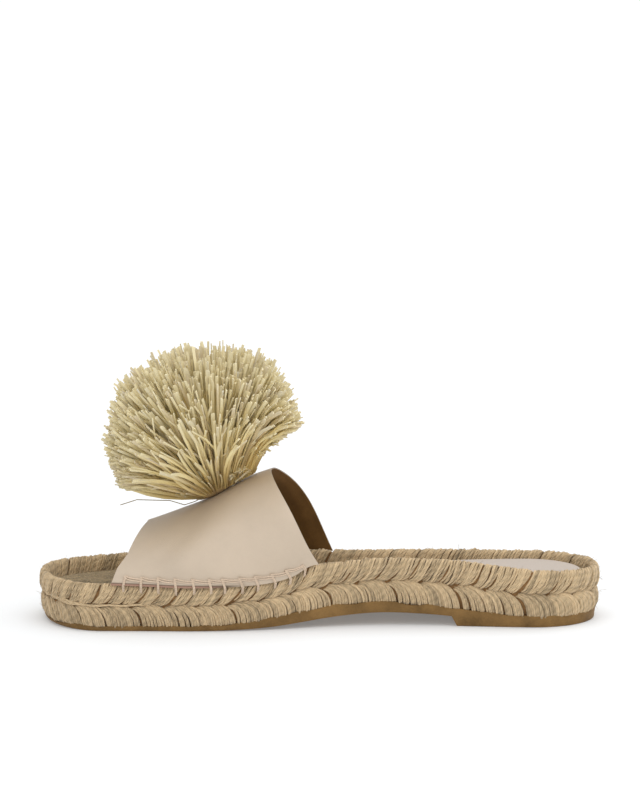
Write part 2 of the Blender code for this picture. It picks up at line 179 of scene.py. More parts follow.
# Soft troughs (negative) and ridges of the worn leather, from one place on the vamp to another: turn and
# share of both ends, width and rise. Turn is the angle round the vamp in degrees, share runs from the front
# edge to the collar, and the lengths turn both into millimetres.
CREASES = (
    (68, 0.46, 24, 0.20, 8.0, -1.1),
    (70, 0.78, 26, 0.36, 10.0, 1.1),
    (60, 0.98, 22, 0.66, 9.0, -0.8),
    (112, 0.46, 156, 0.20, 8.0, -1.0),
    (110, 0.80, 152, 0.40, 10.0, 1.0),
    (120, 0.98, 158, 0.70, 9.0, -0.7),
)
CREASE_TURN_LENGTH, CREASE_SHARE_LENGTH = 0.62, 74.0

# Blanket stitch: along of each stitch that goes down over the lower edge, and how its bar goes into the
# braid below that edge, as drops and depths under the strands' backs
STITCHES = (42.1, 49.9, 57.6, 65.4, 73.5, 81.0, 87.1, 94.8, 101.6, 109.1, 115.7, 122.2)
BAR_ENDS = ((0.5, -1.9), (1.2, -1.2), (2.0, -0.55), (2.8, 0.2), (3.6, 1.3))
THREAD_SIDES = 8

# Straw pompom: strips that fan out of one knot on the vamp
POMPOM_ALONG = 81.0
POMPOM_LEAN = math.radians(107.5)
POMPOM_RADIUS = 46.0
POMPOM_CENTRE = np.array([-4.6, 0.6, 23.8])
POMPOM_FAN = math.radians(68.0)
# Short strips low down, which lie against the leather
POMPOM_SKIRT = math.radians(77.0)
SKIRT_LENGTH = 0.46
# Half width of the fan across the slipper against that along it
FAN_SQUEEZE = 0.52
# Stray of the strips' directions, reach of their roots along the vamp, and points on a strip
FAN_STRAY = 0.075
ROOT_SPREAD = 8.0
STRIP_STEPS = 6
# Bulges of the trimmed ball: angle from its axis towards the heel and spread, in radians, and share of its
# reach
POMPOM_SHOULDERS = ((-0.55, 0.35, 0.032), (0.2, 0.15, -0.02), (0.65, 0.25, 0.018))
# Straw packed inside the ball: shares of the fan's opening and of its reach there
PACKED_STRAW = (
    (0.0, 0.72), (0.12, 0.72), (0.25, 0.72), (0.38, 0.72), (0.5, 0.71),
    (0.62, 0.66), (0.73, 0.53), (0.78, 0.33), (0.7, 0.14),
)
PACKED_COLUMNS = 96
# Half sizes of the knot along the slipper, across it and off the leather
KNOT_SIZE = (10.0, 6.5, 2.6)
# Bends of the loose thread, from the knot
LOOSE_THREAD = (
    (-1.5, -5.0, 1.0), (-10.0, -5.5, -3.2), (-14.5, -6.0, -4.6),
    (-21.0, -6.5, -2.6), (-36.0, -7.0, -2.2), (-43.5, -7.5, -4.6),
)
LOOSE_THREAD_RADIUS = 0.21
GOLDEN_ANGLE = math.pi * (3 - math.sqrt(5))
ROSY_STRAW = (0.66, 0.51, 0.34)
# Multiplied into the straw near the knot: painted shade deep inside the ball.
KNOT_PAINTED_SHADE = (0.75, 0.65, 0.46)

# Stage, in metres, with the camera's sensor in millimetres
FLOOR_REACH = 70.0
KEY_PLACE, KEY_SPREAD = Vector((0.5, -0.02, 1.5)), math.radians(95)
FILL_PLACE, FILL_AIM, FILL_SIZE = Vector((-0.5, -1.7, 1.0)), Vector((0, 0, 0.05)), (1.6, 0.9)
SENSOR_HEIGHT = 24.0
VIEW_END = 200.0


class Shape:
    """Points in millimetres, faces as arrays of corners, their UV corners, and one tint for each point."""

    def __init__(self, points, faces, uvs, tint):
        self.points = points.reshape(-1, 3)
        self.faces = faces
        self.uvs = uvs
        self.tint = np.broadcast_to(tint, len(self.points)) if np.ndim(tint) == 0 else tint.reshape(-1)


def join(shapes):
    """One shape out of several, their corners counted on from one to the next."""
    starts = np.cumsum([0] + [len(s.points) for s in shapes])
    faces = [f + start for s, start in zip(shapes, starts) for f in s.faces]
    uvs = [uv for s in shapes for uv in s.uvs]
    points, tint = (np.concatenate([getattr(s, part) for s in shapes]) for part in ("points", "tint"))
    return Shape(points, faces, uvs, tint)


def smooth(at, value, where):
    """Reads values between their places on a cubic that has the mean slope of the neighbours at each."""
    slope = np.gradient(value, at)
    where = np.clip(where, at[0], at[-1])
    low = np.clip(np.searchsorted(at, where) - 1, 0, len(at) - 2)
    span = at[low + 1] - at[low]
    t = (where - at[low]) / span
    return (
        value[low] * (1 + 2 * t) * (1 - t) ** 2
        + slope[low] * span * t * (1 - t) ** 2
        + value[low + 1] * t * t * (3 - 2 * t)
        + slope[low + 1] * span * t * t * (t - 1)
    )


def ease(value, low, high):
    """Smooth step from 0 at low to 1 at high."""
    t = np.clip((value - low) / (high - low), 0, 1)
    return t * t * (3 - 2 * t)


def bell(offset, spread):
    """Bell curve: 1 at no offset, falling off by the square of the offset over the spread."""
    return np.exp(-((offset / spread) ** 2))


def unit(vectors):
    """The vectors over their own lengths."""
    return vectors / np.linalg.norm(vectors, axis=-1, keepdims=True)


def sole(name, along):
    """A column of the sole's table at a distance along it."""
    return smooth(SOLE["along"], SOLE[name], along)


def by_side(name, along, side):
    """A value of the sole's table that has a medial and a lateral column."""
    return np.where(side < 0, sole(name + "_medial", along), sole(name + "_lateral", along))


def half_width(along, side):
    """Half width of the outline: the section's width, rounded off as an ellipse at toe and heel."""
    toe_round = np.where(side < 0, TOE_ROUND[MEDIAL], TOE_ROUND[LATERAL])
    toe = 1 - np.clip(along / toe_round, 0, 1)
    heel = 1 - np.clip((SOLE_LENGTH - along) / HEEL_ROUND, 0, 1)
    return by_side("width", along, side) * np.sqrt((1 - toe**2) * (1 - heel**2))


def station_table(count=2000):
    """Along at even steps of the outline's mean arc length, from toe tip to heel."""
    along = SOLE_LENGTH * (1 - np.cos(np.linspace(0, math.pi, count))) / 2
    width = (half_width(along, MEDIAL) + half_width(along, LATERAL)) / 2
    arc = np.concatenate([[0], np.cumsum(np.hypot(np.diff(along), np.diff(width)))])
    return arc / arc[-1], along


STATION_SHARE, STATION_ALONG = station_table()


def place(column):
    """Along and side at a column."""
    column = np.mod(np.asarray(column, float), COLUMNS)
    side = np.where(column <= STATIONS, MEDIAL, LATERAL)
    share = np.where(column <= STATIONS, column, COLUMNS - column) / STATIONS
    return np.interp(share, STATION_SHARE, STATION_ALONG), side


def column_at(along, side=MEDIAL):
    """Column at a distance along the sole, on one side."""
    station = np.interp(along, STATION_ALONG, STATION_SHARE) * STATIONS
    return station if side == MEDIAL else COLUMNS - station


def outline_point(column):
    """X and Y of the outline at a column: its half width off the centre line."""
    along, side = place(column)
    return np.stack([along - SOLE_LENGTH / 2, sole("centre", along) + side * half_width(along, side)], -1)


def on_wall(column, inset, height):
    """Point at a column, moved in from the outline by the inset, at a height over the braid's foot, and the
    outward direction there. Heights are those of a plain wall, stretched where the wall is taller."""
    tangent = unit(outline_point(column + 0.2) - outline_point(column - 0.2))
    outward = np.stack([tangent[..., 1], -tangent[..., 0], np.zeros_like(column)], -1)
    foot, rim = (by_side(name, *place(column)) for name in ("foot", "rim"))
    level = foot + (rim - foot) * height / BRAID_HEIGHT
    point = np.concatenate([outline_point(column), level[..., None]], -1)
    return point - outward * np.asarray(inset)[..., None], outward


def along_profile(rows, where):
    """Inset and height on a profile at shares of its length, on a smooth curve through its rows, and the
    shares of the rows."""
    points = np.array(rows, float)
    length = np.concatenate([[0], np.cumsum(np.linalg.norm(np.diff(points, axis=0), axis=1))])
    at = where * length[-1]
    return smooth(length, points[:, 0], at), smooth(length, points[:, 1], at), length / length[-1]


def sweep(paths, reference, profile, caps, tint, lengthwise=None):
    """Closed strips along many paths at once. The profile's points are laid out at each point of a path:
    their first number runs across the path and the reference, and their second towards the reference.
    Lengthwise is the UV value along each path, by default its length in millimetres."""
    count, steps = paths.shape[:2]
    tangent = unit(np.gradient(paths, axis=1))
    across = unit(np.cross(tangent, np.broadcast_to(reference, paths.shape)))
    towards = np.cross(across, tangent)
    profile = np.broadcast_to(profile, (count, steps) + profile.shape[-2:])
    sides = profile.shape[2]
    points = paths[:, :, None] + across[:, :, None] * profile[..., 0:1]
    points = points + towards[:, :, None] * profile[..., 1:2]
    if lengthwise is None:
        hops = np.linalg.norm(np.diff(paths, axis=1), axis=2)
        lengthwise = np.concatenate([np.zeros((count, 1)), np.cumsum(hops, axis=1)], axis=1)
    lengthwise = np.broadcast_to(lengthwise, (count, steps))

    corner = np.arange(count * steps * sides).reshape(count, steps, sides)
    after = np.roll(corner, -1, axis=2)
    walls = np.stack([corner[:, :-1], corner[:, 1:], after[:, 1:], after[:, :-1]], -1).reshape(-1, 4)
    turn = np.arange(sides) / sides
    step_turn = turn + 1 / sides
    u = np.broadcast_to(np.stack([turn, turn, step_turn, step_turn], -1), (count, steps - 1, sides, 4))
    low, high = lengthwise[:, :-1, None], lengthwise[:, 1:, None]
    v = np.broadcast_to(np.stack([low, high, high, low], -1), (count, steps - 1, sides, 4))
    faces, uvs = [walls], [np.stack([u, v], -1).reshape(-1, 4, 2)]

    caps = np.asarray(caps)
    for ring, order in ((0, caps), (steps - 1, caps[:, ::-1])):
        ends = corner[:, ring][:, order]
        cap_v = np.broadcast_to(lengthwise[:, ring, None, None], ends.shape)
        cap_u = np.broadcast_to(turn[order], ends.shape)
        faces.append(ends.reshape(-1, caps.shape[1]))
        uvs.append(np.stack([cap_u, cap_v], -1).reshape(-1, caps.shape[1], 2))
    tint = np.broadcast_to(np.asarray(tint)[:, None, None], (count, steps, sides))
    return Shape(points, faces, uvs, tint)


def ring_profile(sides, across, towards):
    """Ellipse of the given half sizes, as the profile of a yarn or thread."""
    turn = 2 * math.pi * np.arange(sides) / sides
    circle = np.stack([np.cos(turn), np.sin(turn)], -1)
    size = np.stack(np.broadcast_arrays(across, towards), -1)
    return circle * size[..., None, :]


def round_profile(sides, radius):
    """Circle, the same all along every path."""
    return ring_profile(sides, np.full((1, 1), radius), np.full((1, 1), radius))


def grid_faces(rows, columns, closed):
    """Corners of the quads between neighbouring rows and columns of a grid, and their places in it."""
    corner = np.arange(rows * columns).reshape(rows, columns)
    after = np.roll(corner, -1, axis=1) if closed else corner[:, 1:]
    before = corner if closed else corner[:, :-1]
    quads = np.stack([before[:-1], after[:-1], after[1:], before[1:]], -1).reshape(-1, 4)
    return quads, corner


def slab(sections, tint=0.5):
    """Loft through sections, each a ring of points. An end is closed where its ring welds shut."""
    rows, columns = sections.shape[:2]
    quads = grid_faces(rows, columns, closed=True)[0]
    uv = np.stack([quads % columns, quads // columns], -1).astype(float)
    return Shape(sections, [quads], [uv], np.broadcast_to(tint, (rows, columns)).astype(float))


def lidded(loops, tint=0.5):
    """Closed solid between loops round the sole, covered from side to side over the first and the last."""
    rows, columns = loops.shape[:2]
    quads, corner = grid_faces(rows, columns, closed=True)
    half = columns // 2
    k = np.arange(1, half - 1)
    faces = [quads]
    for loop in (corner[0, ::-1], corner[-1]):
        faces.append(np.stack([loop[k], loop[k + 1], loop[columns - k - 1], loop[columns - k]], -1))
        faces.append(np.array([[loop[0], loop[1], loop[-1]], [loop[half - 1], loop[half], loop[half + 1]]]))
    uvs = [np.stack([f % columns, f // columns], -1).astype(float) for f in faces]
    return Shape(loops, faces, uvs, np.full(rows * columns, tint))


def sheet_solid(outer, inner, round_edge, face_tint, edge_tint):
    """Closed sheet between two grids: both faces, and a rounded edge that stands out by round_edge between
    their borders. The outer face has the face's tint, the inner one 0, and the edge at least its own."""
    rows, columns = outer.shape[:2]
    quads, corner = grid_faces(rows, columns, closed=False)
    border = np.concatenate([corner[0, :-1], corner[:-1, -1], corner[-1, :0:-1], corner[:0:-1, 0]])
    inward = np.concatenate([corner[1, :-1], corner[:-1, -2], corner[-2, :0:-1], corner[:0:-1, 1]])
    outer, inner = outer.reshape(-1, 3), inner.reshape(-1, 3)
    push = unit(outer[border] - outer[inward])
    push = unit(push + np.roll(push, 1, 0) + np.roll(push, -1, 0))
    middle = (outer[border] + inner[border]) / 2 + push * round_edge
    total = rows * columns
    ring = 2 * total + np.arange(len(border))
    faces = [quads, quads[:, ::-1] + total]
    uvs = [np.stack([f % total % columns, f % total // columns], -1).astype(float) for f in faces]
    for near, far in ((border, ring), (ring, border + total)):
        faces.append(np.stack([near, far, np.roll(far, -1), np.roll(near, -1)], -1))
        uvs.append(np.zeros((len(border), 4, 2)))
    face_tint = np.broadcast_to(face_tint, (rows, columns)).ravel()
    edge_tint = np.broadcast_to(edge_tint, (rows, columns)).ravel()[border]
    tint = np.concatenate([face_tint, np.zeros(total), np.maximum(face_tint[border], edge_tint)])
    return Shape(np.concatenate([outer, inner, middle]), faces, uvs, tint)


def new_piece(name, shape, material, nodes=(), weld=False, crisp=None):
    """Makes an object of a shape, in metres and in the slipper's frame, and rides it on the slipper."""
    mesh = bpy.data.meshes.new(name)
    corners = np.concatenate([f.ravel() for f in shape.faces])
    sizes = np.concatenate([np.full(len(f), f.shape[1]) for f in shape.faces])
    mesh.vertices.add(len(shape.points))
    mesh.vertices.foreach_set("co", ((shape.points + SLIPPER_SHIFT) * MM).astype(np.float32).ravel())
    mesh.loops.add(len(corners))
    mesh.loops.foreach_set("vertex_index", corners.astype(np.int32))
    mesh.polygons.add(len(sizes))
    starts = np.concatenate([[0], np.cumsum(sizes)[:-1]])
    mesh.polygons.foreach_set("loop_start", starts.astype(np.int32))
    mesh.update(calc_edges=True)
    uv = mesh.uv_layers.new(name="UVMap")
    uv.data.foreach_set("uv", np.concatenate([c.ravel() for c in shape.uvs]).astype(np.float32))
    tint = mesh.attributes.new("tint", "FLOAT", "POINT")
    tint.data.foreach_set("value", shape.tint.astype(np.float32))
    if weld:
        mesh_edit = bmesh.new()
        mesh_edit.from_mesh(mesh)
        bmesh.ops.remove_doubles(mesh_edit, verts=mesh_edit.verts, dist=0.01 * MM)
        bmesh.ops.dissolve_degenerate(mesh_edit, edges=mesh_edit.edges, dist=0.005 * MM)
        bmesh.ops.recalc_face_normals(mesh_edit, faces=mesh_edit.faces)
        mesh_edit.to_mesh(mesh)
        mesh_edit.free()
    mesh.shade_smooth()
    if crisp is not None:
        mesh.set_sharp_from_angle(angle=math.radians(crisp))
    if mesh.validate():
        raise RuntimeError(f"{name} has faces that don't hold")
    mesh.materials.append(material)
    piece = bpy.data.objects.new(name, mesh)
    bpy.context.scene.collection.objects.link(piece)
    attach(piece, "root")
    if nodes:
        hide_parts(*nodes)


def add_node(tree, kind, inputs=None, **settings):
    """A shader node with its settings, and its inputs set or linked."""
    made = tree.nodes.new("ShaderNode" + kind)
    for key, value in settings.items():
        setattr(made, key, value)
    for key, value in (inputs or {}).items():
        if isinstance(value, bpy.types.NodeSocket):
            tree.links.new(value, made.inputs[key])
        else:
            made.inputs[key].default_value = value
    return made


def reckon(tree, operation, first, second=0.0, third=0.0):
    """Output of a Math node."""
    return add_node(tree, "Math", {0: first, 1: second, 2: third}, operation=operation).outputs[0]


def blend_colours(tree, factor, first, second, blend_type="MIX"):
    """Output of a Mix node between two colours."""
    first, second = ((*c, 1) if isinstance(c, tuple) and len(c) == 3 else c for c in (first, second))
    inputs = {0: factor, 6: first, 7: second}
    return add_node(tree, "Mix", inputs, data_type="RGBA", blend_type=blend_type).outputs[2]


def colour_ramp(tree, factor, stops):
    """Output of a ramp through (position, colour) stops, of which the first and the last come first."""
    made = add_node(tree, "ValToRGB", {"Fac": factor})
    elements = made.color_ramp.elements
    for i, (position, colour) in enumerate(stops):
        stop = elements[i] if i < 2 else elements.new(position)
        stop.position = position
        stop.color = (*colour, 1)
    return made.outputs["Color"]


def ramp_range(tree, value, *ends):
    """Output of a smooth Map Range node, from the value's two ends to 0 and the third number, or 1."""
    inputs = {0: value, 1: ends[0], 2: ends[1], 4: ends[2] if len(ends) > 2 else 1.0}
    return add_node(tree, "MapRange", inputs, interpolation_type="SMOOTHSTEP").outputs[0]


def tone(colour, factor):
    """The colour times a factor, at most white."""
    return tuple(min(1.0, c * factor) for c in colour)


def tinge(colour, factors):
    """The colour times a factor for each of red, green and blue."""
    return tuple(c * factor for c, factor in zip(colour, factors))


def new_group(name, inputs, outputs):
    """An empty shader group with named inputs, (name, kind, default), and value outputs."""
    tree = bpy.data.node_groups.new(name, "ShaderNodeTree")
    for socket_name, kind, default in inputs:
        socket = tree.interface.new_socket(socket_name, in_out="INPUT", socket_type="NodeSocket" + kind)
        if default is not None:
            socket.default_value = default
    for socket_name in outputs:
        tree.interface.new_socket(socket_name, in_out="OUTPUT", socket_type="NodeSocketFloat")
    return tree, tree.nodes.new("NodeGroupInput").outputs, tree.nodes.new("NodeGroupOutput").inputs


def twisted_fibres(name):
    """Plies and fibres of a twisted yarn, from its UV: across the yarn and along it in millimetres.
    Plies is a wave that winds round the yarn, and fibres a noise drawn out along the same turns."""
    numbers = (("Turns", "Float", 0.16), ("Plies", "Float", 2.0), ("Fineness", "Float", 2.4))
    tree, given, put = new_group(name, (("UV", "Vector", None), *numbers), ("Plies", "Fibres"))
    parts = add_node(tree, "SeparateXYZ", {0: given["UV"]}).outputs
    wind = reckon(tree, "MULTIPLY_ADD", parts["Y"], given["Turns"], parts["X"])
    angle = reckon(tree, "MULTIPLY", wind, 2 * math.pi)
    half_waves = reckon(tree, "MULTIPLY", reckon(tree, "MULTIPLY", angle, given["Plies"]), 0.5)
    tree.links.new(reckon(tree, "ABSOLUTE", reckon(tree, "SINE", half_waves)), put["Plies"])
    across = reckon(tree, "MULTIPLY", reckon(tree, "COSINE", angle), given["Fineness"])
    towards = reckon(tree, "MULTIPLY", reckon(tree, "SINE", angle), given["Fineness"])
    drawn = reckon(tree, "MULTIPLY", parts["Y"], 0.22)
    at = add_node(tree, "CombineXYZ", {0: across, 1: towards, 2: drawn}).outputs[0]
    noise = add_node(tree, "TexNoise", {"Vector": at, "Scale": 2.2, "Detail": 3.0, "Roughness": 0.65})
    tree.links.new(noise.outputs[0], put["Fibres"])
    return tree


def uneven_tone(name):
    """Uneven tone of a worn or natural surface: broad patches, and small specks over them."""
    inputs = (("Position", "Vector", None), ("Patches", "Float", 60.0), ("Specks", "Float", 900.0))
    tree, given, put = new_group(name, inputs, ("Patches", "Specks"))
    for part in ("Patches", "Specks"):
        look = {"Vector": given["Position"], "Scale": given[part], "Detail": 4.0, "Roughness": 0.6}
        tree.links.new(add_node(tree, "TexNoise", look).outputs[0], put[part])
    return tree


def pebbled_grain(name):
    """Pebbled grain: the cells of a Voronoi pattern with soft furrows between, and fine pores in them."""
    inputs = (("Position", "Vector", None), ("Pebbles", "Float", 1300.0), ("Pores", "Float", 4000.0))
    tree, given, put = new_group(name, inputs, ("Height",))
    warp = add_node(tree, "TexNoise", {"Vector": given["Position"], "Scale": 500.0, "Detail": 2.0})
    look = {0: 0.002, 4: given["Position"], 5: warp.outputs["Color"]}
    shifted = add_node(tree, "Mix", look, data_type="VECTOR")
    look = {"Vector": shifted.outputs[1], "Scale": given["Pebbles"]}
    cells = add_node(tree, "TexVoronoi", look, feature="DISTANCE_TO_EDGE")
    pebbles = reckon(tree, "MINIMUM", reckon(tree, "MULTIPLY", cells.outputs["Distance"], 4.0), 1.0)
    pores = add_node(tree, "TexNoise", {"Vector": given["Position"], "Scale": given["Pores"], "Detail": 2.0})
    tree.links.new(reckon(tree, "MULTIPLY_ADD", pores.outputs[0], 0.5, pebbles), put["Height"])
    return tree


SHARED_LOOKS = {"Twisted fibres": twisted_fibres, "Uneven tone": uneven_tone, "Pebbled grain": pebbled_grain}


def place_group(tree, name, **inputs):
    """Outputs of a shared node group, which is built when it is first asked for."""
    group = bpy.data.node_groups.get(name) or SHARED_LOOKS[name](name)
    return add_node(tree, "Group", inputs, node_tree=group).outputs


def new_material(name, roughness, sockets):
    """A material with its Principled shader's even values set on the shader's own sockets, its node tree,
    its shader and its texture coordinates."""
    material = bpy.data.materials.new(name)
    material.use_nodes = True
    tree = material.node_tree
    shader = tree.nodes["Principled BSDF"]
    for key, value in {"Roughness": roughness, **sockets}.items():
        shader.inputs[key].default_value = value
    return material, tree, shader, add_node(tree, "TexCoord").outputs


def own_tint(tree):
    """The piece's own tint, a value at each point of its mesh."""
    return add_node(tree, "Attribute", attribute_name="tint").outputs["Fac"]


def paint(tree, shader, colour):
    """Links a colour to the shader."""
    tree.links.new(colour, shader.inputs["Base Color"])


def bump(tree, shader, height, depth_mm):
    """Raises the shader's normal by a height of up to a depth in millimetres."""
    look = {"Height": height, "Distance": depth_mm * MM, "Strength": 1.0}
    tree.links.new(add_node(tree, "Bump", look).outputs[0], shader.inputs["Normal"])


def yarn_material(name, colour, turns, depth_mm, contrast):
    """Twisted natural yarn: each yarn has its own tone, with painted shade in the furrows between its plies,
    pale fibres and broad patches."""
    sockets = {"Sheen Weight": 0.15, "Specular IOR Level": 0.2}
    material, tree, shader, coordinates = new_material(name, 0.88, sockets)
    twist = place_group(tree, "Twisted fibres", UV=coordinates["UV"], Turns=turns)
    patches = place_group(tree, "Uneven tone", Position=coordinates["Object"])["Patches"]
    mixed = reckon(tree, "MULTIPLY_ADD", own_tint(tree), contrast, 0.45 - contrast / 2)
    # The plies' wave darkens the tint in the furrows between plies: painted shade.
    parts = (twist["Fibres"], 0.5, 0.5), (twist["Plies"], 0.3, 0.64), (patches, 0.2, 0.5)
    for part, share, middle in parts:
        mixed = reckon(tree, "MULTIPLY_ADD", reckon(tree, "SUBTRACT", part, middle), share, mixed)
    stops = ((0.0, tone(colour, 0.6)), (1.0, tone(colour, 1.75)), (0.45, tone(colour, 1.25)))
    paint(tree, shader, colour_ramp(tree, mixed, stops))
    bump(tree, shader, reckon(tree, "MULTIPLY_ADD", twist["Fibres"], 0.7, twist["Plies"]), depth_mm)
    return material


def core_material(colour):
    """Jute inside the braid, multiplied browner and darker than the yarns: painted shade for the gaps between
    them.
    """
    material, tree, shader, coordinates = new_material("braid_core_jute", 0.95, {"Specular IOR Level": 0.1})
    patches = place_group(tree, "Uneven tone", Position=coordinates["Object"], Patches=300.0)
    # Painted shade: the jute's colour is multiplied down to a dark brown.
    brown = tinge(colour, (0.46, 0.34, 0.24))
    stops = ((0.3, tone(brown, 0.6)), (0.7, tone(brown, 1.4)))
    paint(tree, shader, colour_ramp(tree, patches["Patches"], stops))
    bump(tree, shader, patches["Specks"], 0.2)
    return material


def rubber_material(colour):
    """Gum rubber: warm brown in uneven patches, duller where it is pale, with a fine moulded grain."""
    material, tree, shader, coordinates = new_material("gum_rubber", 0.5, {"Specular IOR Level": 0.09})
    position = coordinates["Object"]
    patches = place_group(tree, "Uneven tone", Position=position, Patches=90.0, Specks=1500.0)
    grain = place_group(tree, "Pebbled grain", Position=position, Pebbles=1800.0)
    tint = reckon(tree, "MULTIPLY_ADD", patches["Specks"], 0.35, patches["Patches"])
    stops = ((0.42, tone(colour, 0.72)), (0.9, tone(colour, 1.55)), (0.66, tone(colour, 1.14)))
    paint(tree, shader, colour_ramp(tree, tint, stops))
    rough = reckon(tree, "MULTIPLY_ADD", patches["Patches"], 0.4, 0.32)
    tree.links.new(rough, shader.inputs["Roughness"])
    bump(tree, shader, grain["Height"], 0.04)
    return material


def board_material(colour):
    """Jute board of braid laid side by side: in each row yarns lean one way and the other by turns, read from
    the UV, which holds the distance from the sole's edge and the distance along it, in millimetres."""
    sockets = {"Sheen Weight": 0.2, "Specular IOR Level": 0.15}
    material, tree, shader, coordinates = new_material("jute_board", 0.95, sockets)
    position = coordinates["Object"]
    patches = place_group(tree, "Uneven tone", Position=position, Patches=160.0, Specks=900.0)
    parts = add_node(tree, "SeparateXYZ", {0: coordinates["UV"]}).outputs
    row_width = 3.2
    row = reckon(tree, "PINGPONG", parts["X"], row_width)
    lean = reckon(tree, "MULTIPLY_ADD", row, 0.9, parts["Y"])
    lean = reckon(tree, "MULTIPLY_ADD", patches["Patches"], 3.0, lean)
    yarns = reckon(tree, "ABSOLUTE", reckon(tree, "SINE", reckon(tree, "MULTIPLY", lean, 2.1)))
    edge = reckon(tree, "MINIMUM", row, reckon(tree, "SUBTRACT", row_width, row))
    edge = reckon(tree, "MINIMUM", reckon(tree, "MULTIPLY", edge, 1.6), 1.0)
    weave = reckon(tree, "MULTIPLY", yarns, edge)
    tint = reckon(tree, "MULTIPLY", patches["Patches"], 0.35)
    tint = reckon(tree, "MULTIPLY_ADD", patches["Specks"], 0.7, tint)
    # The weave darkens the tint between yarns and at the rows' borders: painted shade in the furrows.
    tint = reckon(tree, "MULTIPLY_ADD", weave, 0.22, tint)
    stops = ((0.36, tone(colour, 0.45)), (0.86, tone(colour, 1.6)), (0.62, tone(colour, 1.0)))
    paint(tree, shader, colour_ramp(tree, tint, stops))
    bump(tree, shader, reckon(tree, "MULTIPLY_ADD", patches["Specks"], 0.8, weave), 0.7)
    return material


def leather_material(name, colour, edges, roughness, pebbles, coat):
    """Smooth leather: fine pebbled grain and faint clouds of tone. Where the tint is a half it has the colour
    of its cut edge, and where it is 1 that of its raw margin, painted both as raw edge and as shadow under
    that edge."""
    sockets = {"Coat Weight": coat, "Coat Roughness": 0.45}
    material, tree, shader, coordinates = new_material(name, roughness, sockets)
    position = coordinates["Object"]
    patches = place_group(tree, "Uneven tone", Position=position, Patches=38.0, Specks=1200.0)
    grain = place_group(tree, "Pebbled grain", Position=position, Pebbles=pebbles)
    clouds = reckon(tree, "MULTIPLY_ADD", patches["Specks"], 0.25, patches["Patches"])
    skin = colour_ramp(tree, clouds, ((0.35, tone(colour, 0.92)), (0.9, tone(colour, 1.06))))
    tint = own_tint(tree)
    cut = blend_colours(tree, reckon(tree, "MULTIPLY", tint, 2.0), skin, edges[0])
    # Tint 1 paints the raw margin's colour, as raw edge and as painted shadow under the lower edge.
    raw = reckon(tree, "MULTIPLY_ADD", tint, 2.0, -1.0)
    paint(tree, shader, blend_colours(tree, raw, cut, edges[1]))
    rough = reckon(tree, "MULTIPLY_ADD", patches["Specks"], 0.22, roughness - 0.11)
    tree.links.new(rough, shader.inputs["Roughness"])
    bump(tree, shader, grain["Height"], 0.035)
    return material


def lining_material(colour):
    """Brown suede lining: short nap in clouds of light and dark, with painted shade that deepens its tone
    towards the sole.
    """
    sockets = {"Sheen Weight": 0.05, "Specular IOR Level": 0.1}
    material, tree, shader, coordinates = new_material("suede_lining", 0.9, sockets)
    position = coordinates["Object"]
    patches = place_group(tree, "Uneven tone", Position=position, Patches=70.0, Specks=2600.0)
    tint = reckon(tree, "MULTIPLY", patches["Patches"], 0.6)
    tint = reckon(tree, "MULTIPLY_ADD", patches["Specks"], 0.5, tint)
    # Painted shade: the tint is scaled from 0.62 at 35 mm high to 1.3 at 75 mm, so it is darker towards the
    # sole.
    height = add_node(tree, "SeparateXYZ", {0: position}).outputs["Z"]
    look = {0: height, 1: 35.0 * MM, 2: 75.0 * MM, 3: 0.62, 4: 1.3}
    tint = reckon(tree, "MULTIPLY", tint, add_node(tree, "MapRange", look).outputs[0])
    stops = ((0.3, tone(colour, 0.6)), (0.8, tone(colour, 1.4)))
    paint(tree, shader, colour_ramp(tree, tint, stops))
    bump(tree, shader, patches["Specks"], 0.12)
    return material


def straw_material(pale, olive, bleached):
    """Dry straw: each strip has its own tone from olive to nearly white, drawn out in lengthwise streaks, and
    some are rosy. Towards the knot it has painted shade, darker and yellower, and it is bleached towards the
    cut ends."""
    sockets = {"Specular IOR Level": 0.3, "Sheen Weight": 0.1}
    material, tree, shader, coordinates = new_material("dry_straw", 0.58, sockets)
    parts = add_node(tree, "SeparateXYZ", {0: coordinates["UV"]}).outputs
    tint = own_tint(tree)
    apart = reckon(tree, "MULTIPLY", tint, 71.0)
    across = reckon(tree, "MULTIPLY", parts["X"], 14.0)
    drawn = reckon(tree, "MULTIPLY", parts["Y"], 2.0)
    at = add_node(tree, "CombineXYZ", {0: across, 1: drawn, 2: apart}).outputs[0]
    look = {"Vector": at, "Scale": 1.0, "Detail": 3.0, "Roughness": 0.6}
    streaks = add_node(tree, "TexNoise", look).outputs[0]
    mixed = reckon(tree, "MULTIPLY_ADD", reckon(tree, "SUBTRACT", streaks, 0.5), 0.45, tint)
    light = tinge(pale, (1.03, 1.03, 1.06))
    ends = (0.0, tone(olive, 0.6)), (1.0, bleached)
    between = (0.14, olive), (0.36, tone(light, 1.22)), (0.70, tone(light, 1.46))
    skin = colour_ramp(tree, mixed, ends + between)
    chance = add_node(tree, "TexWhiteNoise", {"W": apart}, noise_dimensions="1D").outputs["Value"]
    rosy = reckon(tree, "MULTIPLY", reckon(tree, "GREATER_THAN", chance, 0.82), 0.55)
    skin = blend_colours(tree, rosy, skin, ROSY_STRAW)
    skin = blend_colours(tree, ramp_range(tree, parts["Y"], 0.66, 1.0, 0.45), skin, bleached)
    # Painted shade: towards the knot the straw is multiplied darker and yellower.
    deep = blend_colours(tree, 1.0, skin, KNOT_PAINTED_SHADE, "MULTIPLY")
    paint(tree, shader, blend_colours(tree, ramp_range(tree, parts["Y"], 0.1, 0.8), deep, skin))
    bump(tree, shader, streaks, 0.12)
    return material


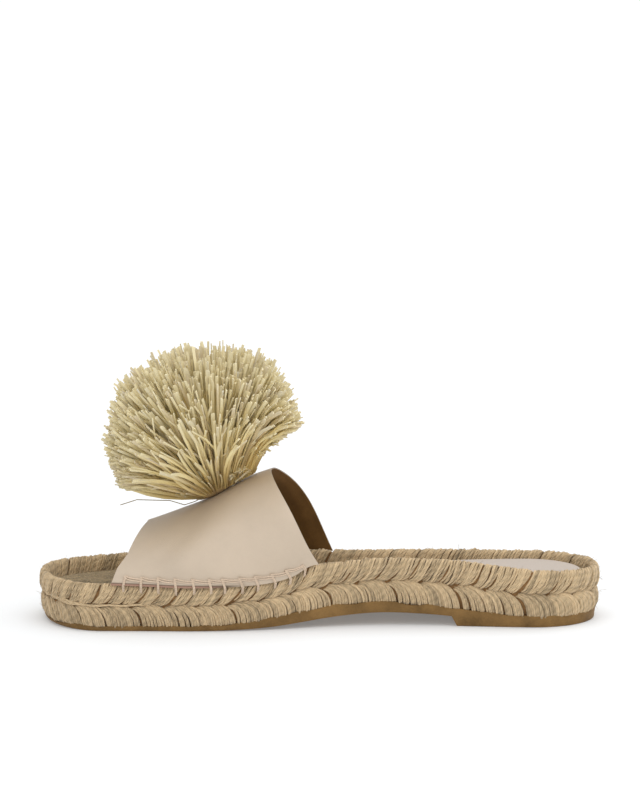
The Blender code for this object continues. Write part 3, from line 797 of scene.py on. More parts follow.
def backdrop_material(colour, glow):
    """Matt pale table, lit from within, with a trace of unevenness."""
    sockets = {"Specular IOR Level": 0.1, "Emission Color": (1, 1, 1, 1), "Emission Strength": glow}
    material, tree, shader, coordinates = new_material("studio_floor", 0.85, sockets)
    patches = place_group(tree, "Uneven tone", Position=coordinates["Object"], Patches=3.0)
    paint(tree, shader, colour_ramp(tree, patches["Patches"], ((0.0, tone(colour, 0.99)), (1.0, colour))))
    return material


def strand_depth(share, depth):
    """How deep a yarn lies under the back of its strand, from its place across it."""
    return depth * (1 - np.sin(math.pi * np.clip(share, 0, 1)) ** 0.6)


def lower_backs(height):
    """Inset of the lower strands' backs at a height."""
    inset, at = np.array(LOWER_PROFILE).T
    return smooth(at, inset, height)


def yarn_tints(strands, count, rng):
    """Tones by chance, of each yarn and of its whole strand."""
    return np.clip(rng.normal(0.5, 0.22, (strands, count)) + rng.normal(0, 0.07, (strands, 1)), 0, 1)


def lower_yarns(count, width, rng):
    """Yarns of the lower row. Each comes out from under the strand before it at the valley, runs along the
    valley and bends down to the rubber: its run slows and its drop quickens by powers of one parameter, and
    it is laid on the backs' profile."""
    steps = np.linspace(0, 1, LOWER_STEPS)
    lobe, yarn, t = np.meshgrid(np.arange(STRANDS), np.arange(count), steps, indexing="ij")
    yarns, strands = (STRANDS, count, 1), (STRANDS, 1, 1)
    share = (yarn + 0.5) / count + rng.uniform(-0.25, 0.25, yarns) / count
    pitch = COLUMNS_PER_STRAND * COLUMN_LENGTH
    start = (0.36 * share - 0.14) * pitch
    end = share * pitch + LOWER_SLIP + rng.normal(0, 0.18, yarns) + rng.normal(0, 0.5, strands)
    top = VALLEY + 0.2 - 2.0 * (1 - share) + rng.normal(0, 0.12, yarns)
    x = start + (end - start) * (1 - (1 - t) ** 1.8)
    height = top - (top + 0.5) * t**2.3
    inset = lower_backs(height) + width / 2
    inset = inset + strand_depth(share * 0.9 + 0.08, 1.0) * (1 - 0.8 * t) + 1.2 * (1 - t) ** 6
    inset = inset + rng.normal(0, 0.15, yarns) + rng.normal(0, 0.15, strands)
    point, outward = on_wall(COLUMNS_PER_STRAND * lobe + x / COLUMN_LENGTH, inset, height)
    size = width / 2 * rng.uniform(0.92, 1.16, yarns) * (1 - 0.25 * (1 - t) ** 3)
    return yarn_tubes(point, outward, size, yarn_tints(STRANDS, count, rng))


def upper_yarns(count, width, rng):
    """Yarns of the upper row, in strands half as wide. Each rises from the valley, leaning with the row, goes
    over the rim and down the inside of the wall to the insole, sunk under the backs along their normal."""
    total = 2 * STRANDS
    steps = np.linspace(0, 1, UPPER_STEPS)
    lobe, yarn, t = np.meshgrid(np.arange(total), np.arange(count), steps, indexing="ij")
    yarns, strands = (total, count, 1), (total, 1, 1)
    share = (yarn + 0.5) / count + rng.uniform(-0.25, 0.25, yarns) / count
    inset, height, lengths = along_profile(UPPER_PROFILE, t)
    rise = np.clip(t / lengths[RIM_STEP], 0, 1)
    over = np.clip((t - lengths[RIM_STEP]) / (1 - lengths[RIM_STEP]), 0, 1)
    pitch = COLUMNS_PER_STRAND / 2 * COLUMN_LENGTH
    lean = UPPER_LEAN + rng.normal(0, 0.4, strands)
    bunch = 0.5 + (share - 0.5) * (0.82 + 0.18 * ease(rise, 0.1, 0.9))
    x = bunch * pitch + lean * (1 - (1 - rise) ** 1.5) + 4.5 * over
    x = x + (rng.normal(0, 0.2, yarns) + rng.normal(0, 0.3, strands)) * (1 - rise * 0.6)
    x = x + 0.25 * np.sin(7 * rise + rng.uniform(0, 6.3, yarns))
    depth = 1.25 - 0.95 * ease(rise, 0.35, 0.95) + 0.2 * over
    bury = width / 2 + strand_depth(share, depth)
    bury = bury + rng.normal(0, 0.16, yarns) + rng.normal(0, 0.28, strands) * (1 - rise)
    slope = unit(np.stack([np.gradient(height, axis=-1), -np.gradient(inset, axis=-1)], -1))
    inset, height = inset + slope[..., 0] * bury, height + slope[..., 1] * bury
    point, outward = on_wall(COLUMNS_PER_STRAND / 2 * lobe + x / COLUMN_LENGTH, inset, height)
    facing = outward * slope[..., :1] - np.array([0, 0, 1.0]) * slope[..., 1:]
    size = width / 2 * rng.uniform(0.92, 1.16, yarns) * (1 - 0.2 * (1 - t) ** 6)
    return yarn_tubes(point, facing, size, yarn_tints(total, count, rng))


def level_yarns(width):
    """Yarns that lie level in the valley: straight from end to end, with a slow waver up and down, and sunk
    under the strands at both ends."""
    t = np.linspace(0, 1, 25)
    start, end, rise, last_rise, tint = np.array(LEVEL_ROWS).T[..., None]
    along = start + (end - start) * t
    height = VALLEY + rise + (last_rise - rise) * t + 0.2 * np.sin(0.5 * along + start)
    inset = 1.45 + 1.6 * np.abs(2 * t - 1) ** 8
    point, outward = on_wall(column_at(along), np.broadcast_to(inset, along.shape), height)
    return yarn_tubes(point, outward, np.full_like(along, 0.42 * width), tint)


def yarn_tubes(point, outward, size, tint):
    """Tubes along yarns, flattened a little against the braid."""
    steps = point.shape[-2]
    size = np.broadcast_to(size, point.shape[:-1]).reshape(-1, steps)
    profile = ring_profile(YARN_SIDES, size * 1.06, size * 0.94)
    paths, reference = point.reshape(-1, steps, 3), outward.reshape(-1, steps, 3)
    return sweep(paths, reference, profile, [np.arange(YARN_SIDES)], tint.ravel())


def braid_core():
    """Body of the braid under its yarns: the core profile carried round the sole, with the tray's floor."""
    column = np.arange(2 * COLUMNS) / 2
    loops = [on_wall(column, np.full_like(column, inset), height)[0] for inset, height in CORE_PROFILE]
    return lidded(np.stack(loops))


def jute_fuzz(count, rng):
    """Loose fibres: short bent hairs that stand off the backs of the strands and the rim."""
    column = rng.uniform(0, COLUMNS, count)
    lower = rng.random(count) < 0.4
    height = rng.uniform(0.8, 8.0, count)
    rim_inset, rim_level, _ = along_profile(UPPER_PROFILE, rng.uniform(0.15, 0.62, count))
    inset = np.where(lower, lower_backs(height), rim_inset) + 0.5
    height = np.where(lower, height, rim_level - 0.4)
    root, outward = on_wall(column, inset, height)
    stray = unit(outward + rng.normal(0, 0.6, (count, 3)) + np.array([0, 0, 0.25]))
    curl = rng.normal(0, 0.5, (count, 3))
    reach = rng.gamma(4.0, 0.34, count)
    t = np.linspace(0, 1, 4)[None, :, None]
    path = root[:, None] + reach[:, None, None] * (t * stray[:, None] + 0.5 * t * t * curl[:, None])
    tint = rng.uniform(0.5, 1, count)
    return sweep(path, np.array([0.31, 0.42, 0.85]), round_profile(3, 0.055), [[0, 1, 2]], tint)


def sole_sections(columns, levels):
    """Rows of points up the medial and the lateral side of the sole, at each medial column. Levels give an
    inset and a height over the floor for each column, first for the medial side and then for the lateral."""
    rings = []
    for side_levels, at in zip(levels, (columns, COLUMNS - columns)):
        points = []
        for inset, height in side_levels:
            flat = on_wall(at, np.broadcast_to(inset, at.shape), np.zeros_like(at))[0]
            points.append(np.column_stack([flat[:, :2], np.broadcast_to(height, at.shape)]))
        rings.append(np.stack(points, 1))
    return rings


def span(first, last, shares):
    """Points on the straight lines between two rows of points."""
    return first[:, None] + (last - first)[:, None] * shares[None, :, None]


def outsole_shape(tread_depth, lip_wave, rng):
    """Rubber sheet with its heel. A section runs across the underside, up one side to the lip that laps the
    strands' feet, across the top and down the other side. The underside has shallow ribs inside a border."""
    across = np.linspace(0, 1, 41)
    breast = np.array([column_at(HEEL_BREAST), column_at(HEEL_BREAST + HEEL_BREAST_SLANT)])
    even = np.linspace(0, STATIONS, 253)
    even = even[(even < breast[0] - 0.2) | (even > breast[1] + 0.2)]
    columns = np.sort(np.concatenate([even, breast]))
    swell = rng.normal(0, 1, (2, 12))
    sides = []
    for at, waves in ((columns, swell[0]), (COLUMNS - columns, swell[1])):
        along, side = place(at)
        sheet = np.maximum(by_side("under", along, side), 0.0)
        under = np.where(along < HEEL_BREAST + HEEL_BREAST_SLANT / 2, sheet, 0.0)
        top = by_side("foot", along, side)
        strand = np.mod((at - LOWER_SLIP / COLUMN_LENGTH) / COLUMNS_PER_STRAND, 1.0)
        turn = along / SOLE_LENGTH * 2 * math.pi
        drift = sum(w * np.sin(turn * (k + 2) + k) for k, w in enumerate(waves)) / 5
        lip = top + lip_wave * (0.7 * strand_depth(strand, 1.0) + drift + 0.15)
        lip = np.maximum(lip, under + 1.4)
        corner = ((1.1, under), (0.4, under + 0.15), (0.05, under + 0.5), (-0.1, under * 0.5 + lip * 0.5))
        edge = ((-0.5, lip - 0.35), (-0.45, lip), (0.6, lip + 0.2), (2.0, top))
        sides.append([(RUBBER_INSET + off, height) for off, height in corner + edge])
    medial, lateral = sole_sections(columns, sides)
    along = place(columns)[0][:, None]
    ribs = 0.5 - 0.5 * np.cos(2 * math.pi * (along + RIB_BEND * np.abs(across - 0.5)) / RIB_PITCH)
    width = np.linalg.norm(lateral[:, 0] - medial[:, 0], axis=1)[:, None]
    border = np.minimum(across, 1 - across)[None] * width
    ribbed = ease(border, *RIB_BORDER) * ease(along, *RIBS_BEGIN) * (1 - ease(along, *RIBS_END))
    ribbed = ribbed * (1 - ease(along, *ARCH_BEGIN) * (1 - ease(along, *ARCH_END)))
    under = span(medial[:, 0], lateral[:, 0], across)
    under[..., 2] += tread_depth * ribs * ribbed
    top = span(lateral[:, -1], medial[:, -1], np.array([0.5]))
    return slab(np.concatenate([under, lateral[:, 1:], top, medial[:, :0:-1]], 1))


def footbed_shape(front, inset, thickness, lift, hollow, edge):
    """Thin board in the tray, from a distance along the sole to the heel. Its top lies at the footbed's
    height, is hollowed a little along its middle and has a rounded edge."""
    across = np.linspace(0, 1, 33)
    columns = np.linspace(column_at(front), STATIONS, 170)
    sides = []
    for at in (columns, COLUMNS - columns):
        along, side = place(at)
        top = by_side("foot", along, side) + sole("bed", along) + lift
        wall = ((inset, top - thickness), (inset, top - edge))
        sides.append(wall + ((inset + 0.3 * edge, top - 0.3 * edge), (inset + edge, top)))
    medial, lateral = sole_sections(columns, sides)
    top = span(lateral[:, -1], medial[:, -1], across)
    dip = (np.sin(math.pi * across) ** 2)[None]
    top[..., 2] -= hollow * dip * ease(place(columns)[0], front, front + 20)[:, None]
    shape = slab(np.concatenate([medial[:, :1], lateral[:, :-1], top, medial[:, 2:0:-1]], 1))
    along = shape.points[:, 0] + SOLE_LENGTH / 2
    off = shape.points[:, 1] - sole("centre", along)
    from_edge = half_width(along, np.sign(off)) - np.abs(off)
    shape.uvs = [np.stack([from_edge, along], -1)[faces] for faces in shape.faces]
    return shape


def crest(name, along):
    """A column of the crest's table at a distance along the sole."""
    return smooth(CREST["along"], CREST[name], along)


def margin_inset(height):
    """Inset of the wall's strands under the vamp's margin, at a height over the braid's foot."""
    return np.interp(height, MARGIN_HEIGHT, MARGIN_INSET)


def edge_along(share, side):
    """Along of a share of the vamp's lower edge on one side."""
    return FRONT_EDGE[side] + (COLLAR_EDGE[side] - FRONT_EDGE[side]) * share


def vamp_edges(turn):
    """Along of the vamp's front edge and of its collar at an angle round it: each goes from its foot to its
    top by a power of the height, and on the far side both bow."""
    medial = turn <= math.pi / 2
    off_top = np.abs(turn / (math.pi / 2) - 1)
    lean = 1 - np.where(medial, off_top, off_top**FAR_FRONT_BOW)
    front_foot = np.where(medial, FRONT_EDGE[MEDIAL], FRONT_EDGE[LATERAL])
    collar_foot = np.where(medial, COLLAR_EDGE[MEDIAL], COLLAR_EDGE[LATERAL])
    climb = np.clip(np.abs(np.sin(turn)), 0, 1)
    front = front_foot + FRONT_FLARE * ease(climb, *FRONT_FLARE_CLIMB)
    front = front + (FRONT_EDGE_TOP - front_foot - FRONT_FLARE) * lean
    collar = collar_foot + (COLLAR_EDGE_TOP - collar_foot) * climb**COLLAR_BOW
    collar = collar + np.where(medial, 0.0, FAR_COLLAR_BOW * 4 * climb * (1 - climb))
    return front, collar - COLLAR_HOLLOW * climb * (1 - climb) ** 3


def vamp_foot(along, share, side):
    """Y and Z of the vamp's lower edge: outside the strands' backs, over the rim by the overlap, which runs
    out in the last stretch before the collar."""
    overlap = OVERLAP_FRONT + (OVERLAP_COLLAR - OVERLAP_FRONT) * share
    slope = half_width(along + 0.5, side) - half_width(along - 0.5, side)
    outset = (VAMP_WALL + SEAT_GAP - margin_inset(BRAID_HEIGHT - overlap)) * np.sqrt(1 + slope**2)
    y = sole("centre", along) + side * (half_width(along, side) + outset)
    lift = np.where(side < 0, CORNER_LIFT[MEDIAL], CORNER_LIFT[LATERAL])
    return y, by_side("rim", along, side) - overlap + lift * ease(share, *CORNER_RUN)


def vamp_plain(turn, share):
    """Outer face of the vamp. Turn goes from 0 at the medial sole edge to pi at the lateral one, and share
    from the front edge to the collar. Each section is a half ellipse that stands on the sole's edge."""
    side = np.where(turn <= math.pi / 2, MEDIAL, LATERAL)
    front, collar = vamp_edges(turn)
    along = front + (collar - front) * share
    foot_y, foot_z = vamp_foot(along, share, side)
    top_y = crest("offset", along)
    y = top_y + (foot_y - top_y) * np.abs(np.cos(turn))
    z = foot_z + (crest("height", along) - foot_z) * np.sin(turn)
    return np.stack([along - SOLE_LENGTH / 2, y, z], -1)


def vamp_normal(turn, share, step=0.004):
    """Outward normal of the vamp, from the slopes of its outer face."""
    around = vamp_plain(turn + step, share) - vamp_plain(turn - step, share)
    down = vamp_plain(turn, share + step) - vamp_plain(turn, share - step)
    normal = unit(np.cross(around, down))
    outwards = normal[..., 2:] * np.sin(turn)[..., None] + normal[..., 1:2] * -np.cos(turn)[..., None]
    return normal * np.sign(outwards)


def crease_relief(turn, share):
    """Sum of the soft troughs and ridges: each rises as a bell curve of the distance to its line."""
    relief = np.zeros_like(turn)
    degrees = np.degrees(turn) * CREASE_TURN_LENGTH
    run = share * CREASE_SHARE_LENGTH
    for turn_a, share_a, turn_b, share_b, width, rise in CREASES:
        start = np.array([turn_a * CREASE_TURN_LENGTH, share_a * CREASE_SHARE_LENGTH])
        way = np.array([turn_b * CREASE_TURN_LENGTH, share_b * CREASE_SHARE_LENGTH]) - start
        t = np.clip(((degrees - start[0]) * way[0] + (run - start[1]) * way[1]) / way.dot(way), 0, 1)
        off = np.hypot(degrees - start[0] - t * way[0], run - start[1] - t * way[1])
        relief = relief + rise * bell(off, width)
    return relief


def stitch_shares(side):
    """Shares along the vamp's lower edge where the stitches go down."""
    share = (np.array(STITCHES) - FRONT_EDGE[MEDIAL]) / (COLLAR_EDGE[MEDIAL] - FRONT_EDGE[MEDIAL])
    return share if side == MEDIAL else share + 0.004 * np.sin(5 * np.arange(len(STITCHES)))


def margin_reach(share, side):
    """Height of the vamp's top line over its lower edge, at a share of that edge on one side."""
    along = edge_along(share, side)
    return crest("height", along) - vamp_foot(along, share, np.full_like(along, side))[1]


def over_margin(turn, share, side):
    """Heights over the vamp's lower edge on one side, and a mask of the places that are on that side."""
    return np.sin(turn) * margin_reach(share, side), (turn <= math.pi / 2) == (side == MEDIAL)


def stitch_relief(turn, share, pull, row_up):
    """Dimples where the stitches pull the leather down to the rim, as bell curves, with a groove along their
    row and under each bar."""
    relief = np.zeros_like(turn)
    for side in (MEDIAL, LATERAL):
        up, here = over_margin(turn, share, side)
        length = COLLAR_EDGE[side] - FRONT_EDGE[side]
        gap = np.min(np.abs(share[..., None] - stitch_shares(side)) * length, axis=-1)
        hole = bell(gap, 1.1) * bell(up - row_up, 1.3)
        groove = 0.45 * bell(up - row_up + 0.5, 0.9)
        bar = 0.5 * bell(gap, 0.8) * (1 - ease(up, row_up - 1.0, row_up))
        relief = relief - np.where(here, pull * (hole + groove + bar), 0)
    return relief


def vamp_surface(turn, share, pull, row_up):
    """Outer face of the leather with its creases and stitch dimples, and its normal before them."""
    normal = vamp_normal(turn, share)
    relief = crease_relief(turn, share) + stitch_relief(turn, share, pull, row_up)
    return vamp_plain(turn, share) + normal * relief[..., None], normal


def raw_edge_and_painted_shadow(turn, share):
    """Tint of the vamp's face: up to 1 on the raw margin at the front of the lower edges, painted as raw edge
    and as shadow of the gap between leather and braid.
    """
    tint = np.zeros_like(turn)
    for side in (MEDIAL, LATERAL):
        up, here = over_margin(turn, share, side)
        tint = np.where(here, (1 - ease(up, 0.5, 1.5)) * (1 - ease(share, 0.4, 0.72)), tint)
    return tint


def skive(share):
    """Share of the full thickness: the vamp is pared down towards its front edge and its collar."""
    return (0.4 + 0.6 * ease(np.minimum(share, 1 - share), 0.0, 0.08))[..., None]


def vamp_grid(rows, columns, margin, first):
    """Angles and shares of a grid over the vamp from a first share on, closer together near the lower edges
    and the top."""
    turn = np.linspace(0, 1, columns)
    turn = math.pi * (turn - 0.06 * np.sin(4 * math.pi * turn) / (2 * math.pi) * 2)
    return np.meshgrid(turn * (1 - 2 * margin) + math.pi * margin, np.linspace(first, 1 - margin, rows))


def thread_point(side, share, up, lift):
    """Point a height over the vamp's lower edge, lifted off the leather. The sine of the angle round the vamp
    is that height's share of the vamp's."""
    turn = np.arcsin(np.clip(up / margin_reach(share, side), -1, 1))
    turn = turn if side == MEDIAL else math.pi - turn
    return vamp_plain(turn, share) + vamp_normal(turn, share) * lift


def row_taper(share):
    """Share of the stitch row's full height, which runs down before the collar."""
    return np.clip((1.0 - share) / 0.12, 0.25, 1.0)


def thread_paths(side, row_up, width):
    """Blanket stitch on one side: doubled bars that go down over the leather's edge into the braid, and the
    doubled thread that joins each bar's head to the next bar's neck."""
    shares = stitch_shares(side)
    length = COLLAR_EDGE[side] - FRONT_EDGE[side]
    ply = np.array([-0.5, 0.5]) * width * 0.92
    doubled = (shares[:, None] + ply[None] / length).ravel()
    heights = np.linspace(1.06, 0.0, 7)
    bars = [thread_point(side, doubled, up * row_up * row_taper(doubled), width * 0.42) for up in heights]
    overlap = OVERLAP_FRONT + (OVERLAP_COLLAR - OVERLAP_FRONT) * doubled
    overlap = overlap - CORNER_LIFT[side] * ease(doubled, *CORNER_RUN)
    column = column_at(edge_along(doubled, side), side)
    for drop, depth in BAR_ENDS:
        height = BRAID_HEIGHT - overlap - drop
        bars.append(on_wall(column, margin_inset(height) + depth, height)[0])
    bars = np.stack(bars, 1)

    t = np.linspace(0, 1, bars.shape[1])
    first, last = shares[:-1, None], shares[1:, None]
    share = first + (last - first) * t
    runs = []
    for strand_up, sag in ((1.0, 0.25), (0.80, 0.35)):
        up = row_up * (strand_up - 0.22 * t) - sag * np.sin(math.pi * t)
        runs.append(thread_point(side, share, up * row_taper(share), width * 0.40))
    return np.concatenate([bars] + runs)


def thread_shape(row_up, width):
    """Round threads along the stitches of both sides."""
    paths = np.concatenate([thread_paths(side, row_up, width) for side in (MEDIAL, LATERAL)])
    outward = paths - np.array([-SOLE_LENGTH / 2 + 85.0, 0, 20.0])
    outward[..., 0] = 0
    tint = np.linspace(0, 7.3, len(paths)) % 1.0 * 0.4 + 0.3
    profile = round_profile(THREAD_SIDES, width / 2)
    return sweep(paths, unit(outward), profile, [np.arange(THREAD_SIDES)], tint)


def pompom_seat():
    """Knot's place on the vamp, just clear of the leather, the vamp's outward normal there, and the way
    along its top line at right angles to that normal."""
    share = np.array((POMPOM_ALONG - FRONT_EDGE_TOP) / (COLLAR_EDGE_TOP - FRONT_EDGE_TOP))
    top = np.array(math.pi / 2)
    normal = vamp_normal(top, share)
    uphill = np.array([normal[2], 0.0, -normal[0]])
    return vamp_plain(top, share) + normal * SEAT_GAP, normal, uphill


def pompom_reach(direction):
    """Distance from the knot to the trimmed ball of straw, in a direction."""
    towards = direction @ POMPOM_CENTRE
    return towards + np.sqrt(POMPOM_RADIUS**2 - POMPOM_CENTRE @ POMPOM_CENTRE + towards**2)


def pompom_basis():
    """Axes of the fan: across it towards the heel, across it sideways, and along its axis."""
    cos, sin = math.cos(POMPOM_LEAN), math.sin(POMPOM_LEAN)
    return np.array([[sin, 0, -cos], [0, 1, 0], [cos, 0, sin]])


def fan_directions(count, opening, rng):
    """Directions spread evenly in a cone round the pompom's axis on a golden-angle spiral, each strayed a
    little but not out of the cone, and their places across the cone."""
    order = np.arange(count)
    height = 1 - (1 - math.cos(opening)) * (order + 0.5) / count
    ring = np.sqrt(1 - height**2)
    local = np.stack([ring * np.cos(GOLDEN_ANGLE * order), ring * np.sin(GOLDEN_ANGLE * order), height], -1)
    local = unit(local * np.array([1, FAN_SQUEEZE, 1]) + rng.normal(0, FAN_STRAY, local.shape))
    local[:, 2] = np.maximum(local[:, 2], math.cos(opening))
    local[:, 0] = np.minimum(local[:, 0], math.sin(POMPOM_FAN))
    local = unit(local)
    return local @ pompom_basis(), local


def strip_trims(count, rng):
    """Shares that strips are cut short by: about half of them hardly, some well inside the ball, and a few
    stand out of it."""
    kind = rng.random(count)
    trim = np.where(kind < 0.5, rng.uniform(0.0, 0.07, count), rng.uniform(0.07, 0.28, count))
    trim = np.where(kind > 0.82, rng.uniform(0.28, 0.48, count), trim)
    return np.where(kind < 0.04, rng.uniform(-0.03, 0.0, count), trim)


def straw_strips(count, width, opening, length, bright, rng):
    """Ridged strips of straw. Each runs from the knot out to the trimmed ball on a quadratic curve, rolled by
    chance, wider towards its blunt, slanted end."""
    seat, normal, uphill = pompom_seat()
    direction, local = fan_directions(count, opening, rng)
    trim = strip_trims(count, rng)
    heelwards = 1 - (1 - length) * 0.6 * ease(local[:, 0], 0.1, 0.7)
    around = np.arctan2(local[:, 1], local[:, 0])
    uneven = 0.01 * np.sin(4 * around + 9 * local[:, 2]) + 0.01 * np.sin(13 * local[:, 0] + 5 * local[:, 1])
    swing = np.arctan2(local[:, 0], local[:, 2])
    for middle, spread, rise in POMPOM_SHOULDERS:
        uneven = uneven + rise * bell(swing - middle, spread)
    reach = pompom_reach(direction) * (0.985 + uneven - trim) * length * heelwards

    spread = ROOT_SPREAD * (1 + 1.5 * ease(local[:, :1], 0.1, 0.9))
    sideways = local[:, 1:2] * np.array([0, 0.7, 0]) * ROOT_SPREAD
    root = seat + normal * 0.8 + local[:, :1] * unit(uphill) * spread + sideways
    tip = seat + direction * reach[:, None]
    straight = 1 - 0.85 * ease(local[:, :1], 0.3, 0.75)
    curl = np.where(rng.random(count) < 0.3, 0.2, 0.07)[:, None] * length * straight
    upright = 0.22 + 0.2 * ease(local[:, :1], 0.2, 0.75)
    axis = pompom_basis()[2]
    bow = unit(direction * (1 - upright) + axis * upright + curl * rng.normal(0, 1, (count, 3)))
    middle = root + bow * (reach * 0.5)[:, None]
    t = np.linspace(0, 1, STRIP_STEPS)[None, :, None]
    paths = (1 - t) ** 2 * root[:, None] + 2 * t * (1 - t) * middle[:, None] + t * t * tip[:, None]

    broad = width * rng.uniform(0.5, 1.45, count)[:, None] * (0.5 + 0.5 * ease(t[..., 0], 0, 0.55))
    fold = 0.22 + broad * rng.uniform(0.10, 0.30, count)[:, None]
    half = broad / 2
    zero = np.zeros_like(broad)
    across = np.stack([half, half * rng.uniform(-0.4, 0.4, count)[:, None], -half], -1)
    towards = np.stack([zero, fold, zero], -1)
    roll = rng.uniform(0, 2 * math.pi, count)[:, None] + rng.normal(0, 0.5, count)[:, None] * t[..., 0]
    cos, sin = np.cos(roll)[..., None], np.sin(roll)[..., None]
    profile = np.stack([across * cos - towards * sin, across * sin + towards * cos], -1)
    slant = rng.normal(0, 0.16, count)[:, None, None] * across[:, -1:, :]
    tint = np.clip(rng.normal(bright, 0.13, count), 0.03, 0.97)
    shape = sweep(paths, np.array([0.13, 0.97, 0.21]), profile, [[0, 1, 2]], tint, t[..., 0])
    corners = shape.points.reshape(count, STRIP_STEPS, 3, 3)
    corners[:, -1] += slant[:, 0, :, None] * unit(tip - middle)[:, None]
    return shape


def in_painted_shade(shape):
    """The shape with its lengthwise UV near the knot, where the straw has painted shade."""
    shape.uvs = [uv * np.array([1.0, 0.03]) for uv in shape.uvs]
    return shape


def pompom_knot():
    """Bound end of the straw, pressed on the leather: a flattened ball, longer along the slipper."""
    seat, normal, uphill = pompom_seat()
    along, sideways, off = KNOT_SIZE
    swing = np.linspace(0, 2 * math.pi, 32, endpoint=False)
    rise = np.linspace(-math.pi / 2, math.pi / 2, 11)[:, None]
    ball = (np.cos(rise) * np.cos(swing), np.cos(rise) * np.sin(swing), np.sin(rise))
    ball = np.stack(np.broadcast_arrays(*ball), -1)
    crumple = 1 + 0.08 * np.sin(9 * swing)
    across = ball[..., :1] * uphill * along + ball[..., 1:2] * np.array([0, sideways, 0])
    points = seat + normal * (off - 0.5) + across * crumple[:, None] + ball[..., 2:] * normal * off
    # The knot takes the darkest straw tint and the painted shade near the knot, standing in for the shade
    # where the strips meet.
    return in_painted_shade(slab(points, 0.02))


def pompom_core():
    """Packed straw inside the ball: rings of the fan at a share of its reach, drawn in to the knot."""
    seat = pompom_seat()[0]
    rows = []
    swing = np.linspace(0, 2 * math.pi, PACKED_COLUMNS, endpoint=False)
    for opening, share in PACKED_STRAW:
        angle = opening * POMPOM_FAN
        across = math.sin(angle) * np.stack([np.cos(swing), FAN_SQUEEZE * np.sin(swing)], -1)
        local = unit(np.column_stack([across, np.full_like(swing, math.cos(angle))]))
        direction = local @ pompom_basis()
        crumple = 1 + 0.05 * np.sin(24 * swing + 90 * opening)
        rows.append(seat + direction * (pompom_reach(direction) * share * crumple)[:, None])
    rows.append(np.broadcast_to(seat, (PACKED_COLUMNS, 3)))
    # The packed straw takes the painted shade near the knot.
    return in_painted_shade(slab(np.stack(rows), 0.45))


def loose_thread():
    """Grey binding thread that hangs out in front of the knot: straight from bend to bend."""
    bends = np.array(LOOSE_THREAD)
    at = np.linspace(0, 1, len(bends))
    fine = np.linspace(0, 1, 26)
    path = np.stack([np.interp(fine, at, bends[:, k]) for k in range(3)], -1) + pompom_seat()[0]
    profile = round_profile(5, LOOSE_THREAD_RADIUS)
    return sweep(path[None], np.array([0.0, 0.3, 1.0]), profile, [np.arange(5)], np.array([0.0]), 0.3)


def colour_setting(name, description, default):
    """A colour that a user would change."""
    return FloatVectorProperty(
        name=name, description=description, default=default, subtype="COLOR", min=0, max=1
    )


def length_setting(name, description, default):
    """A length that a user would change, with its default in metres."""
    return FloatProperty(name=name, description=description, default=default, unit="LENGTH")


def angle_setting(name, description, default):
    """An angle that a user would change, with its default in degrees."""
    return FloatProperty(name=name, description=description, default=math.radians(default), subtype="ANGLE")


def count_setting(name, description, default, least):
    """A number of things that a user would change."""
    return IntProperty(name=name, description=description, default=default, min=least)


class BraidSettings(bpy.types.PropertyGroup):
    """Jute yarn of the braided sole."""

    yarn_width: length_setting("Yarn width", "Thickness of one yarn", 1.12 * MM)
    lower_yarns: count_setting("Lower yarns", "Yarns in a strand of the lower row", 14, 3)
    upper_yarns: count_setting("Upper yarns", "Yarns in a strand of the upper row", 8, 3)
    fuzz: count_setting("Fuzz", "Loose fibres on the braid", 1800, 1)
    colour: colour_setting("Jute", "Colour of the jute", FINISH["jute"])


class OutsoleSettings(bpy.types.PropertyGroup):
    """Gum rubber under the braid."""

    tread: length_setting("Tread depth", "Depth of the fine ribs", 0.5 * MM)
    lip: length_setting("Lip wave", "Rise of the lip between strands", 0.8 * MM)
    colour: colour_setting("Rubber", "Colour of the rubber", FINISH["rubber"])


class FootbedSettings(bpy.types.PropertyGroup):
    """Jute board and heel sock."""

    hollow: length_setting("Hollow", "Dip along the middle", 0.5 * MM)
    board_colour: colour_setting("Board", "Colour of the board", FINISH["insole"])
    sock_colour: colour_setting("Sock", "Colour of the heel sock", FINISH["sock"])


class VampSettings(bpy.types.PropertyGroup):
    """Leather band over the foot, and its lining."""

    leather: length_setting("Leather", "Thickness of the leather", 1.05 * MM)
    pull: length_setting("Pull", "Depth of the stitch dimples", 0.32 * MM)
    colour: colour_setting("Leather", "Colour of the leather", FINISH["leather"])
    # The raw margin's colour is painted both as raw edge and as shadow under the vamp's lower edge.
    raw_colour: colour_setting("Raw margin", "Colour of the raw margin", (0.36, 0.20, 0.14))
    edge_colour: colour_setting("Cut edge", "Colour of the cut edge", (0.11, 0.066, 0.034))
    lining_colour: colour_setting("Lining", "Colour of the lining", (0.195, 0.100, 0.030))


class StitchSettings(bpy.types.PropertyGroup):
    """Blanket stitch between vamp and rim."""

    width: length_setting("Thread", "Thickness of the thread", 0.56 * MM)
    row: length_setting("Row", "Height over the leather's edge", 3.9 * MM)
    colour: colour_setting("Thread", "Colour of the thread", (0.56, 0.44, 0.33))


class PompomSettings(bpy.types.PropertyGroup):
    """Straw pompom."""

    strips: count_setting("Strips", "Long strips of straw", 4300, 100)
    width: length_setting("Strip width", "Mean width of a strip", 1.35 * MM)
    pale: colour_setting("Pale straw", "Colour of most strips", FINISH["straw"])
    olive: colour_setting("Olive straw", "Colour of the darkest strips", (0.55, 0.43, 0.19))
    bleached: colour_setting("Bleached straw", "Colour of the cut ends", (0.73, 0.68, 0.54))


